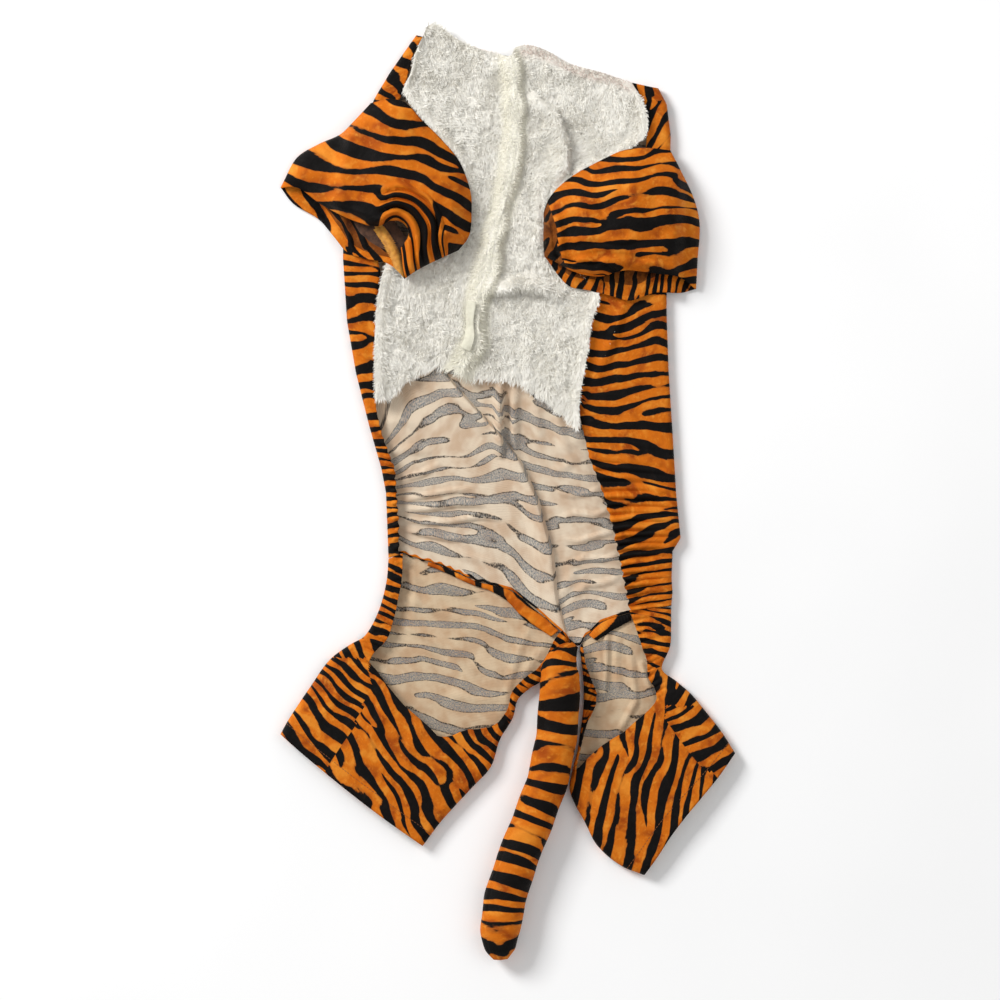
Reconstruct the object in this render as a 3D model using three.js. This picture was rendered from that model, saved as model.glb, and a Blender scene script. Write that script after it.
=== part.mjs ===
// A tiger costume for a large dog, laid out flat with its belly side up and its head end towards +Y.
// Units are millimetres, +Z is up and the floor is z = 0.
import * as THREE from 'three';

// Cloth and its heights over the floor
const CLOTH = 1.6;
const FUR = 7.0;
const FLOOR_MID = 0.8;
const ARM_MID = 10.0;
const CUFF_MID = 12.0;
const FUR_LOW = 6.6;
const FUR_HIGH = 10.4;
const SEAM = 0.4;
const FUR_EDGE = 3.0;

// The dog's back: neck to tail root, and how far the garment's rows slope to its right
const BACK_TOP = [457, 404];
const BACK_END = [-65.0, -113.4];
const SEAT_DIP_START = 200;

// Edges of the back panel, as x against y
const LEFT_FOLD = [
  { y: 457, x: -91 }, { y: 420, x: -117 }, { y: 395, x: -132 }, { y: 362, x: -147 },
  { y: 322, x: -158 }, { y: 277, x: -163 }, { y: 235, x: -164 }, { y: 220, x: -163 },
  { y: 172, x: -160 }, { y: 120, x: -151 }, { y: 68, x: -138 }, { y: 24, x: -125.5 },
  { y: 0, x: -121 }, { y: -38, x: -119.5 }, { y: -66, x: -118.5 },
];
const LEFT_ELASTIC = [
  { y: 457, x: -85 }, { y: 439, x: -95 }, { y: 419, x: -100 }, { y: 399, x: -107 },
  { y: 368, x: -127 }, { y: 326, x: -137 }, { y: 280, x: -139 }, { y: 226, x: -127 },
  { y: 192, x: -130 }, { y: 120, x: -134 }, { y: 82, x: -131 }, { y: 57, x: -125 },
  { y: 24, x: -113 }, { y: -8, x: -111 }, { y: -33, x: -109 }, { y: -66, x: -109 },
];
const RIGHT_ELASTIC = [
  { y: 404, x: 124 }, { y: 387, x: 136 }, { y: 359, x: 139 }, { y: 342, x: 138 },
  { y: 312, x: 136 }, { y: 272, x: 130 }, { y: 230, x: 104 }, { y: 195, x: 89 },
  { y: 162, x: 83 }, { y: 127, x: 78 }, { y: 97, x: 72 }, { y: 65, x: 72 },
  { y: 30, x: 81 }, { y: 0, x: 94 }, { y: -33, x: 105 }, { y: -73, x: 114 }, { y: -114, x: 122 },
];
const RIGHT_FOLD = [
  { y: 404, x: 150 }, { y: 389, x: 158 }, { y: 359, x: 162 }, { y: 312, x: 161.5 },
  { y: 232, x: 158 }, { y: 180, x: 158 }, { y: 122, x: 160 }, { y: 60, x: 164 },
  { y: 0, x: 167.5 }, { y: -45, x: 172 }, { y: -58, x: 164 }, { y: -85, x: 163 },
  { y: -100, x: 164 }, { y: -114, x: 162.5 },
];

// The seat edge, where the back panel ends over the tops of the hind legs, as y against x
const SEAT_EDGE = [
  { x: -118.5, y: -65.5 }, { x: -106, y: -61 }, { x: -95.5, y: -62 }, { x: -67.5, y: -70 },
  { x: -29.5, y: -86 }, { x: 4.5, y: -95 }, { x: 26.5, y: -112 }, { x: 52.5, y: -135 },
  { x: 60.5, y: -148 }, { x: 66.5, y: -153 }, { x: 72.5, y: -153 }, { x: 77.5, y: -142 },
  { x: 92.5, y: -127 }, { x: 118.5, y: -118 }, { x: 142.5, y: -115 }, { x: 162.5, y: -114 },
];
const SEAT_POINT = 66.5;
const SEAT_LAP = 2;
const SEAT_LIFT = 2.4;

// The long slanting fold in the open back panel: where it runs and how high it stands
const LONG_FOLD = [
  { y: 460, x: -90, high: 0 }, { y: 135, x: -75, high: 0 }, { y: 122, x: -67, high: 3 },
  { y: 88, x: -38, high: 7 }, { y: 67, x: -18, high: 8 }, { y: 32, x: 10, high: 9 },
  { y: -5, x: 27, high: 9 }, { y: -58, x: 42, high: 8 }, { y: -103, x: 46, high: 6 },
  { y: -123, x: 52, high: 3 }, { y: -150, x: 60, high: 1 },
];
const FOLD_GENTLE = 24;
const FOLD_STEEP = 7;

// Gathers along the elastic edges: how deep they are along the sides
const LEFT_GATHER = [
  { y: 460, deep: 0 }, { y: 90, deep: 0.2 }, { y: 40, deep: 1.3 }, { y: -66, deep: 1.5 },
];
const RIGHT_GATHER = [
  { y: 404, deep: 0 }, { y: 120, deep: 0.4 }, { y: 30, deep: 1.0 }, { y: -114, deep: 2.0 },
];
const GATHER_PITCH = 15;

// Fur panel: neck edge, hem, side seams and the line of the placket
const NECK_EDGE = [
  [-84, 458], [-79.5, 466.5], [-67, 466], [-62, 462], [-47, 452], [-27, 445], [-7, 440], [4, 438],
  [9, 446.5], [22, 449], [42, 442], [62, 430], [92, 421], [123.5, 409.5],
];
const HEM_EDGE = [
  [-131.5, 94], [-114, 102], [-102, 116], [-87, 127], [-67, 132], [-49, 122], [-27, 120],
  [2, 116], [17, 108], [37, 95], [54, 80], [70, 65],
];
const NECK_SPLIT = 0.44;
const HEM_SPLIT = 0.375;
const BELLY_FADE = 3;
const FUR_LEFT = [
  [-83.5, 458], [-92.5, 438], [-97, 419], [-104, 401], [-88, 378], [-77, 364], [-60, 347],
  [-50, 332], [-46, 306], [-51, 283], [-68, 264], [-94, 250], [-117, 235], [-128, 205],
  [-132, 165], [-133, 132], [-131.5, 94],
];
const FUR_RIGHT = [
  [123.5, 409.5], [136, 387], [138, 360], [112, 336], [90, 327], [64, 310], [50, 292], [44, 268],
  [48, 238], [78, 216], [91, 196], [84, 172], [79, 137], [72, 97], [70, 65],
];
const PLACKET = [
  [4, 438], [7.5, 400], [7.5, 357], [2.5, 317], [-4, 290], [-14, 255], [-20, 222], [-30, 190],
  [-33, 150], [-49, 122],
];
const RIDGE_HIGH = 8;
const RIDGE_HALF = 13;
// Soft folds that lie in the fur panel: middle line, how high and how wide to each side
const FUR_FOLDS = [
  { line: [[22, 392], [47, 377], [57, 352], [60, 327], [54, 312]], high: 4, half: 15 },
  { line: [[-17, 203], [12, 208], [33, 206], [44, 200]], high: 5, half: 13 },
  { line: [[-95, 222], [-70, 227], [-48, 230]], high: 3, half: 14 },
];

// Sleeves: armhole seam, under side, outer and lower sides, and the two rims of the cuff
const SLEEVE_LEFT = {
  seam: [[-136, 389], [-117, 393], [-102, 389], [-87, 373], [-67, 353], [-49, 331], [-38, 302],
    [-36.5, 284], [-39, 257], [-49, 243]],
  under: [[-136, 389], [-131, 370], [-126, 330], [-120, 290], [-100, 255], [-49, 243]],
  outer: [[-136, 389], [-152, 372], [-167, 358], [-189, 348], [-210, 335], [-223, 312],
    [-226.5, 305]],
  lower: [[-49, 243], [-62, 237], [-77, 230], [-92, 222], [-103.5, 214]],
  rimTop: [[-226.5, 305], [-210, 305], [-187, 289], [-157, 272], [-124, 264], [-104, 256],
    [-98, 238], [-103.5, 214]],
  rimUnder: [[-226.5, 305], [-215, 290], [-189, 274], [-174, 257], [-161, 241], [-142, 234],
    [-122, 230], [-110, 222], [-103.5, 214]],
};
const SLEEVE_RIGHT = {
  seam: [[161.5, 342], [140, 344], [117, 342], [92, 331], [62, 314], [44, 297], [37, 282],
    [36.5, 267]],
  under: [[161.5, 342], [150, 325], [140, 300], [110, 275], [70, 266], [36.5, 267]],
  outer: [[161.5, 342], [172, 322], [185, 295], [191, 270], [189, 232], [187.5, 204]],
  lower: [[36.5, 267], [36, 250], [37, 236]],
  rimTop: [[187.5, 204], [172, 215], [147, 219], [117, 222], [92, 216], [70, 219], [52, 228],
    [37, 236]],
  rimUnder: [[187.5, 204], [172, 200], [147, 200], [122, 192], [102, 197], [82, 202], [62, 206],
    [52, 215], [44, 226], [37, 236]],
};
// How a sleeve puffs up along its length: the upper side above its side seams
const SLEEVE_PUFF = [
  { along: 0, high: 2 }, { along: 0.12, high: 12 }, { along: 0.3, high: 21 },
  { along: 0.6, high: 24 }, { along: 0.85, high: 20 }, { along: 1, high: 17 },
];

// Hind legs: sides, top edge at the seat and hem, each from the dog's rump to the paw
const LEG_LEFT = {
  outer: [[-118.5, -65.5], [-120.5, -88], [-128.5, -118], [-142.5, -143], [-157.5, -152],
    [-177.5, -167], [-197.5, -195], [-217.5, -225], [-226.5, -241]],
  inner: [[60.5, -148], [53.5, -156], [45.5, -172], [35.5, -186], [22.5, -194], [9.5, -206],
    [4.5, -224], [-8.5, -246], [-17.5, -273], [-37.5, -295], [-67.5, -328], [-85.5, -352]],
  top: [[-118.5, -65.5], [-106, -61], [-95.5, -62], [-67.5, -70], [-29.5, -86], [4.5, -95],
    [26.5, -112], [52.5, -135], [60.5, -148]],
  hem: [[-226.5, -241], [-207.5, -258], [-167.5, -291], [-127.5, -322], [-85.5, -352]],
};
const LEG_RIGHT = {
  outer: [[72.5, -156], [75.5, -180], [76.5, -208], [74, -233], [70, -258], [64.5, -280],
    [62.5, -296], [67.5, -310], [77.5, -328], [89.5, -351], [112.5, -371], [136.5, -381]],
  inner: [[162.5, -114], [162.5, -133], [161.5, -153], [153.5, -176], [167.5, -188],
    [182.5, -201], [197.5, -219], [212.5, -238], [226.5, -260]],
  top: [[72.5, -156], [77.5, -142], [92.5, -127], [118.5, -118], [142.5, -115], [162.5, -114]],
  hem: [[136.5, -381], [149.5, -363], [162.5, -343], [177.5, -323], [192.5, -305],
    [210.5, -283], [226.5, -260]],
};
// Where the two lips of a leg's opening lie across its rows, down to where they meet
const LIPS_LEFT = [
  { down: 0, outer: 0.07, inner: 0.94 }, { down: 0.2, outer: 0.09, inner: 0.935 },
  { down: 0.36, outer: 0.133, inner: 0.95 }, { down: 0.44, outer: 0.147, inner: 0.943 },
  { down: 0.475, outer: 0.155, inner: 0.92 }, { down: 0.52, outer: 0.173, inner: 0.85 },
  { down: 0.54, outer: 0.247, inner: 0.81 }, { down: 0.567, outer: 0.33, inner: 0.775 },
  { down: 0.6, outer: 0.467, inner: 0.745 }, { down: 0.62, outer: 0.6, inner: 0.72 },
  { down: 0.632, outer: 0.69, inner: 0.69 },
];
const LIPS_RIGHT = [
  { down: 0, outer: 0.05, inner: 0.62 }, { down: 0.067, outer: 0.05, inner: 0.655 },
  { down: 0.2, outer: 0.173, inner: 0.73 }, { down: 0.27, outer: 0.253, inner: 0.8 },
  { down: 0.327, outer: 0.263, inner: 0.84 }, { down: 0.36, outer: 0.1, inner: 0.855 },
  { down: 0.427, outer: 0.03, inner: 0.85 }, { down: 0.49, outer: 0.03, inner: 0.81 },
  { down: 0.507, outer: 0.1, inner: 0.78 }, { down: 0.525, outer: 0.3, inner: 0.7 },
  { down: 0.542, outer: 0.5, inner: 0.5 },
];

// The stuffed tail: its middle line, half width, and the lowest and highest heights
const TAIL = [
  { x: 66.5, y: -151, half: 4.5, low: 4.6, high: 13 },
  { x: 58, y: -160, half: 13, low: 11.4, high: 27 },
  { x: 52, y: -172, half: 18.5, low: 11.6, high: 38 },
  { x: 51.5, y: -190, half: 20, low: 9, high: 38 },
  { x: 51.5, y: -212, half: 20.5, low: 2, high: 35 },
  { x: 48.5, y: -245, half: 20.5, low: 0, high: 33 },
  { x: 38.5, y: -290, half: 20.5, low: 0, high: 33 },
  { x: 24, y: -330, half: 20.5, low: 0, high: 32 },
  { x: 8.5, y: -367, half: 20.5, low: 0, high: 32 },
  { x: -3, y: -405, half: 21, low: 0, high: 32 },
  { x: -7.5, y: -437, half: 20, low: 0, high: 31 },
  { x: -8, y: -456, half: 15, low: 3, high: 27 },
  { x: -7.5, y: -465, half: 7, low: 9, high: 20 },
];

// Orange binding of the seat edge, lying on the legs just beyond the back panel
const HEM_THICK = 2.4;
const HEM_CLEAR = SEAT_LAP + 3.4;

// Closure tape on the placket
const TAPE = { near: 1.5, far: 7.5, start: 0.78, end: 0.93, thick: 1.2 };

const COLOURS = {
  tiger: 0xe08018,
  fur: 0xe6e4da,
  tape: 0xefeee8,
};

function between(a, b, t) {
  return a + (b - a) * t;
}

function ease(low, high, value) {
  const t = Math.min(1, Math.max(0, (value - low) / (high - low)));
  return t * t * (3 - 2 * t);
}

// Reads a column of a table against another column, with straight runs between its rows
function read(table, from, column, value) {
  const rising = table[table.length - 1][from] > table[0][from];
  const at = (row) => (rising ? row[from] : -row[from]);
  const goal = rising ? value : -value;
  if (goal <= at(table[0])) {
    return table[0][column];
  }
  for (let i = 1; i < table.length; i += 1) {
    if (goal <= at(table[i])) {
      const t = (goal - at(table[i - 1])) / (at(table[i]) - at(table[i - 1]));
      return between(table[i - 1][column], table[i][column], t);
    }
  }
  return table[table.length - 1][column];
}

// A curve through the points of a table, read by the share of its length
function curveThrough(points) {
  const spline = new THREE.CatmullRomCurve3(
    points.map(([x, y]) => new THREE.Vector3(x, y, 0)),
    false,
    'centripetal',
  );
  spline.arcLengthDivisions = 400;
  return (t) => spline.getPointAt(Math.min(1, Math.max(0, t)));
}

// The part of a curve between two shares of its length
function stretchOf(curve, start, end) {
  return (t) => curve(between(start, end, t));
}

// A patch between four edges: top and bottom run across, left and right run down. The bends of
// top and bottom die out towards each other, the faster the higher fade is.
function patch(top, bottom, left, right, fade = 1) {
  const corners = [top(0), top(1), bottom(0), bottom(1)];
  return (across, down) => {
    const upper = (1 - down) ** fade;
    const lower = down ** fade;
    const point = new THREE.Vector3();
    point.addScaledVector(top(across), upper);
    point.addScaledVector(bottom(across), lower);
    point.addScaledVector(left(down), 1 - across);
    point.addScaledVector(right(down), across);
    point.addScaledVector(corners[0], -(1 - across) * upper);
    point.addScaledVector(corners[1], -across * upper);
    point.addScaledVector(corners[2], -(1 - across) * lower);
    point.addScaledVector(corners[3], -across * lower);
    return point;
  };
}

// Makes a wall of cloth on a grid of points. Rows from closedFrom on are rings, whose last point
// is their first one again. An upright wall has its thickness straight up and down.
function wall(grid, thickness, { closedFrom = Infinity, upright = false } = {}) {
  const rows = grid.length;
  const columns = grid[0].length;
  const closed = (k) => k >= closedFrom;
  const turned = grid[0][1].clone().sub(grid[0][0]).cross(grid[1][0].clone().sub(grid[0][0]));
  const uprightSign = Math.sign(turned.z);
  const step = new THREE.Vector3();
  const normalAt = (k, i) => {
    if (upright) {
      return new THREE.Vector3(0, 0, uprightSign);
    }
    const below = grid[Math.min(rows - 1, k + 1)][i];
    const above = grid[Math.max(0, k - 1)][i];
    let before = Math.max(0, i - 1);
    let after = Math.min(columns - 1, i + 1);
    if (closed(k) && i === 0) {
      before = columns - 2;
    }
    if (closed(k) && i === columns - 1) {
      after = 1;
    }
    const down = step.subVectors(below, above).clone();
    const across = step.subVectors(grid[k][after], grid[k][before]).clone();
    return across.cross(down).normalize();
  };
  const positions = [];
  const index = { near: [], far: [] };
  for (let k = 0; k < rows; k += 1) {
    index.near.push([]);
    index.far.push([]);
    for (let i = 0; i < columns; i += 1) {
      if (closed(k) && i === columns - 1) {
        index.near[k].push(index.near[k][0]);
        index.far[k].push(index.far[k][0]);
        continue;
      }
      const half = (typeof thickness === 'function' ? thickness(k, i) : thickness) / 2;
      const normal = normalAt(k, i);
      const near = grid[k][i].clone().addScaledVector(normal, half);
      const far = grid[k][i].clone().addScaledVector(normal, -half);
      index.near[k].push(positions.length / 3);
      positions.push(near.x, near.y, near.z);
      index.far[k].push(positions.length / 3);
      positions.push(far.x, far.y, far.z);
    }
  }
  const faces = [];
  const quad = (a, b, c, d) => {
    faces.push([a, b, c], [a, c, d]);
  };
  for (let k = 0; k + 1 < rows; k += 1) {
    for (let i = 0; i + 1 < columns; i += 1) {
      const n = index.near;
      const f = index.far;
      quad(n[k][i], n[k + 1][i], n[k + 1][i + 1], n[k][i + 1]);
      quad(f[k][i], f[k][i + 1], f[k + 1][i + 1], f[k + 1][i]);
    }
    if (k < closedFrom) {
      quad(index.near[k][0], index.far[k][0], index.far[k + 1][0], index.near[k + 1][0]);
      const e = columns - 1;
      quad(index.near[k][e], index.near[k + 1][e], index.far[k + 1][e], index.far[k][e]);
    }
  }
  for (let i = 0; i + 1 < columns; i += 1) {
    const e = rows - 1;
    quad(index.near[0][i], index.near[0][i + 1], index.far[0][i + 1], index.far[0][i]);
    quad(index.near[e][i], index.far[e][i], index.far[e][i + 1], index.near[e][i + 1]);
  }
  return closedGeometry(positions, faces);
}

// Builds the geometry and turns its faces outward if they came out facing in
function closedGeometry(positions, faces) {
  const point = (i) => new THREE.Vector3(positions[3 * i], positions[3 * i + 1], positions[3 * i + 2]);
  const kept = faces.filter(([a, b, c]) => a !== b && b !== c && c !== a);
  let volume = 0;
  for (const [a, b, c] of kept) {
    volume += point(a).dot(point(b).cross(point(c)));
  }
  const turned = volume < 0 ? kept.map(([a, b, c]) => [a, c, b]) : kept;
  const geometry = new THREE.BufferGeometry();
  geometry.setAttribute('position', new THREE.Float32BufferAttribute(positions, 3));
  geometry.setIndex(turned.flat());
  geometry.computeVertexNormals();
  return geometry;
}

// One row of a flat tube or of a C with two arms: its points as [share across, height].
// width is the row's length, leftArm and rightArm the arms' reach from the sides.
function tubeRow({ width, leftArm, rightArm, top, bottomShares, counts }) {
  const row = [];
  const radius = (top - FLOOR_MID) / 2;
  const middle = (top + FLOOR_MID) / 2;
  const left = Math.max(leftArm, radius + 1.5);
  const right = Math.max(rightArm, radius + 1.5);
  for (let j = 0; j < counts.leftArm; j += 1) {
    const reach = between(left, radius, j / counts.leftArm);
    row.push({ across: reach / width, z: top, layer: 'top', lip: 1 - j / counts.leftArm });
  }
  for (let j = 0; j <= counts.turn; j += 1) {
    const angle = (Math.PI * j) / counts.turn;
    const reach = radius * (1 - Math.sin(angle));
    row.push({ across: reach / width, z: middle + radius * Math.cos(angle), layer: 'turn', lip: 0 });
  }
  for (const share of bottomShares) {
    const across = between(radius / width, 1 - radius / width, share);
    row.push({ across, z: FLOOR_MID, layer: 'bottom', lip: 0 });
  }
  for (let j = 0; j <= counts.turn; j += 1) {
    const angle = (Math.PI * (counts.turn - j)) / counts.turn;
    const reach = radius * (1 - Math.sin(angle));
    row.push({ across: 1 - reach / width, z: middle + radius * Math.cos(angle), layer: 'turn', lip: 0 });
  }
  for (let j = 1; j <= counts.rightArm; j += 1) {
    const reach = between(radius, right, j / counts.rightArm);
    row.push({ across: 1 - reach / width, z: top, layer: 'top', lip: j / counts.rightArm });
  }
  return row;
}

// Back panel: one sheet from neck to seat whose sides fold over into two elastic-edged arms
function backBody() {
  const counts = { leftArm: 2, rightArm: 4, turn: 3 };
  const rowHeights = [];
  for (let y = 457; y > 80; y -= 27) {
    rowHeights.push(y);
  }
  const fine = 5.6;
  const fineRows = Math.round((76 - BACK_END[0]) / fine);
  for (let j = 0; j <= fineRows; j += 1) {
    rowHeights.push(between(76, BACK_END[0], j / fineRows));
  }
  const grid = rowHeights.map((leftY) => {
    const share = (BACK_TOP[0] - leftY) / (BACK_TOP[0] - BACK_END[0]);
    const rightY = between(BACK_TOP[1], BACK_END[1], share);
    const x0 = read(LEFT_FOLD, 'y', 'x', leftY);
    const x1 = read(RIGHT_FOLD, 'y', 'x', rightY);
    const dipping = 1 - ease(BACK_END[0], SEAT_DIP_START, leftY);
    const spot = (across) => {
      const x = between(x0, x1, across);
      const straight = between(leftY, rightY, across);
      const seat = read(SEAT_EDGE, 'x', 'y', x) + 0.9;
      const fall = between(BACK_END[0], BACK_END[1], across) - seat;
      return new THREE.Vector3(x, straight - fall * dipping * dipping, 0);
    };
    let fold = 0.5;
    for (let turn = 0; turn < 8; turn += 1) {
      const x = read(LONG_FOLD, 'y', 'x', spot(fold).y);
      fold = Math.min(0.8, Math.max(0.1, (x - x0) / (x1 - x0)));
    }
    const width = x1 - x0;
    const high = read(LONG_FOLD, 'y', 'high', spot(fold).y);
    const gentle = fold - FOLD_GENTLE / width;
    const steep = fold + FOLD_STEEP / width;
    const margin = 10 / width;
    const inner = 22 / width;
    const bottomShares = [
      margin, inner, between(inner, gentle, 0.35), between(inner, gentle, 0.7), gentle,
      (gentle + fold) / 2, fold, steep, between(steep, 1 - inner, 0.3),
      between(steep, 1 - inner, 0.6), 1 - inner, 1 - margin,
    ];
    const row = tubeRow({
      width,
      leftArm: read(LEFT_ELASTIC, 'y', 'x', leftY) - x0,
      rightArm: x1 - read(RIGHT_ELASTIC, 'y', 'x', rightY),
      top: ARM_MID,
      bottomShares,
      counts,
    });
    return row.map((cell) => {
      const point = spot(cell.across);
      point.z = cell.z;
      if (cell.layer === 'bottom') {
        const side = (cell.across - fold) * width;
        const rise = side < 0 ? ease(-FOLD_GENTLE, 0, side) : 1 - ease(0, FOLD_STEEP, side);
        const last = 1 - ease(BACK_END[0], BACK_END[0] + 24, leftY);
        const inside = ease(6, 13, point.x - x0) * ease(6, 13, x1 - point.x);
        point.z += high * rise + SEAT_LIFT * inside * last;
        const lapped = ease(14, 24, point.x - x0) * ease(14, 24, x1 - point.x);
        point.y -= (SEAT_LAP + 0.9) * last * lapped * ease(8, 16, Math.abs(point.x - SEAT_POINT));
      }
      if (cell.layer === 'top') {
        const gather = cell.across < 0.5 ? LEFT_GATHER : RIGHT_GATHER;
        const deep = read(gather, 'y', 'deep', point.y);
        point.z += deep * cell.lip * Math.sin((2 * Math.PI * leftY) / GATHER_PITCH);
      }
      return point;
    });
  });
  return wall(grid, CLOTH);
}

// Distance of a place on the floor from a line of points
function distanceTo(line, x, y) {
  let nearest = Infinity;
  for (let i = 0; i + 1 < line.length; i += 1) {
    const [ax, ay] = line[i];
    const [bx, by] = line[i + 1];
    const length = (bx - ax) ** 2 + (by - ay) ** 2;
    const t = Math.min(1, Math.max(0, ((x - ax) * (bx - ax) + (y - ay) * (by - ay)) / length));
    nearest = Math.min(nearest, Math.hypot(x - between(ax, bx, t), y - between(ay, by, t)));
  }
  return nearest;
}

// One half of the belly panel as a function: reach is the distance from the placket in millimetres
function bellySurface(sidePoints, neck, hem, placketShift, onLeft) {
  const side = curveThrough(sidePoints);
  const middle = curveThrough(PLACKET.map(([x, y]) => [x + placketShift, y]));
  const [left, right] = onLeft ? [side, middle] : [middle, side];
  const fan = patch(neck, hem, left, right, BELLY_FADE);
  const width = (down) => fan(0, down).distanceTo(fan(1, down));
  const at = (reach, down) => {
    const share = Math.min(1, reach / width(down));
    const point = fan(onLeft ? 1 - share : share, down);
    const fromSide = width(down) - reach;
    const ridge = Math.cos((Math.PI / 2) * Math.min(1, reach / RIDGE_HALF));
    point.z = between(FUR_HIGH, FUR_LOW, ease(10, 60, fromSide)) + RIDGE_HIGH * ridge * ridge;
    for (const { line, high, half } of FUR_FOLDS) {
      point.z += high * (1 - ease(0, half, distanceTo(line, point.x, point.y)));
    }
    if (fromSide < 7) {
      point.z = ARM_MID + CLOTH / 2 + SEAM + FUR_EDGE / 2;
    }
    return point;
  };
  return { at, width };
}

// One half of the belly panel as a solid
function bellyHalf({ at, width }, onLeft) {
  const rows = 17;
  const grid = [];
  for (let k = 0; k < rows; k += 1) {
    const down = k / (rows - 1);
    const across = width(down);
    const reaches = [0, 5, 9, 14];
    for (let j = 1; j <= 5; j += 1) {
      reaches.push(between(14, across - 13, j / 5));
    }
    reaches.push(across - 6, across);
    const row = reaches.map((reach) => at(reach, down));
    grid.push(onLeft ? row.reverse() : row);
  }
  const last = grid[0].length - 1;
  const edgeColumns = onLeft ? [0, 1] : [last - 1, last];
  const thick = (k, i) => {
    if (edgeColumns.includes(i)) {
      return FUR_EDGE;
    }
    return k === 0 || k === rows - 1 ? FUR * 0.7 : FUR;
  };
  return wall(grid, thick, { upright: true });
}

// What a sleeve lies on: the floor, and the folded side of the body further in
function restHeight(x, y) {
  const left = read(LEFT_FOLD, 'y', 'x', y);
  const right = read(RIGHT_FOLD, 'y', 'x', y);
  const inside = Math.min(x - left, right - x);
  const climb = ARM_MID + CLOTH / 2 + SEAM;
  const onFur = ARM_MID + CLOTH / 2 + 2 * SEAM + FUR_EDGE;
  return climb * ease(-20, -5, inside) + (onFur - climb) * ease(6, 34, inside);
}

// A short puffed sleeve: a ring loft from the armhole seam to the cuff
function sleeve(edges) {
  const outer = curveThrough(edges.outer);
  const lower = curveThrough(edges.lower);
  const over = patch(curveThrough(edges.seam), curveThrough(edges.rimTop), outer, lower);
  const under = patch(curveThrough(edges.under), curveThrough(edges.rimUnder), outer, lower);
  const rows = 12;
  const columns = 26;
  const grid = [];
  for (let k = 0; k < rows; k += 1) {
    const down = k / (rows - 1);
    const puff = read(SLEEVE_PUFF, 'along', 'high', down);
    const ring = [];
    for (let i = 0; i <= columns; i += 1) {
      const angle = (2 * Math.PI * (i % columns)) / columns;
      const across = (1 - Math.cos(angle)) / 2;
      const onTop = angle <= Math.PI;
      const lift = Math.abs(Math.sin(angle));
      const point = (onTop ? over : under)(across, down);
      const rest = restHeight(point.x, point.y) + FLOOR_MID;
      const ruffle = 1.6 * ease(0.6, 1, down) * Math.sin(9 * Math.PI * across) * lift;
      const side = 3 * ease(0, 0.25, down);
      point.z = rest + side * (1 - (onTop ? 0 : Math.sqrt(lift)));
      if (onTop) {
        point.z += puff * lift ** 0.8 + ruffle;
      }
      ring.push(point);
    }
    grid.push(ring);
  }
  return wall(grid, CLOTH, { closedFrom: 0 });
}

// A hind leg: open at the rump, with narrow elastic arms, and a whole tube at the cuff
function hindLeg(edges, lips, meet, counts) {
  const top = curveThrough(edges.top);
  const fan = patch(top, curveThrough(edges.hem), curveThrough(edges.outer), curveThrough(edges.inner));
  const close = lips[lips.length - 1].down;
  const downs = [0, 0.035, 0.07, 0.105, 0.14, 0.18, 0.22, 0.26, 0.3, 0.34, 0.385, 0.43];
  for (const row of lips) {
    if (row.down > 0.43) {
      downs.push(row.down);
    }
  }
  for (let j = 1; j <= 6; j += 1) {
    downs.push(between(close, 1, j / 6));
  }
  const grid = downs.map((down) => {
    let width = 0;
    for (let j = 0; j < 20; j += 1) {
      width += fan(j / 20, down).distanceTo(fan((j + 1) / 20, down));
    }
    const shut = down >= close;
    const outerLip = shut ? meet : read(lips, 'down', 'outer', down);
    const innerLip = shut ? meet : read(lips, 'down', 'inner', down);
    const bottomShares = [0.1, 0.2, 0.3, 0.4, 0.5, 0.6, 0.7, 0.8, 0.9];
    const row = tubeRow({
      width,
      leftArm: outerLip * width,
      rightArm: (1 - innerLip) * width,
      top: between(ARM_MID, CUFF_MID, ease(0.3, close, down)),
      bottomShares,
      counts,
    });
    return row.map((cell, i) => {
      const atMeet = shut && (i === 0 || i === row.length - 1);
      const across = atMeet ? meet : cell.across;
      const point = fan(across, down);
      point.z = cell.z;
      const open = 1 - ease(close - 0.12, close, down);
      if (cell.layer === 'top') {
        point.z += 1.4 * cell.lip * open * Math.cos(2 * Math.PI * 14 * down);
        point.z += 3 * (1 - open) * Math.sin(Math.PI * across);
      }
      return point;
    });
  });
  return wall(grid, CLOTH, { closedFrom: downs.indexOf(close) });
}

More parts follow.
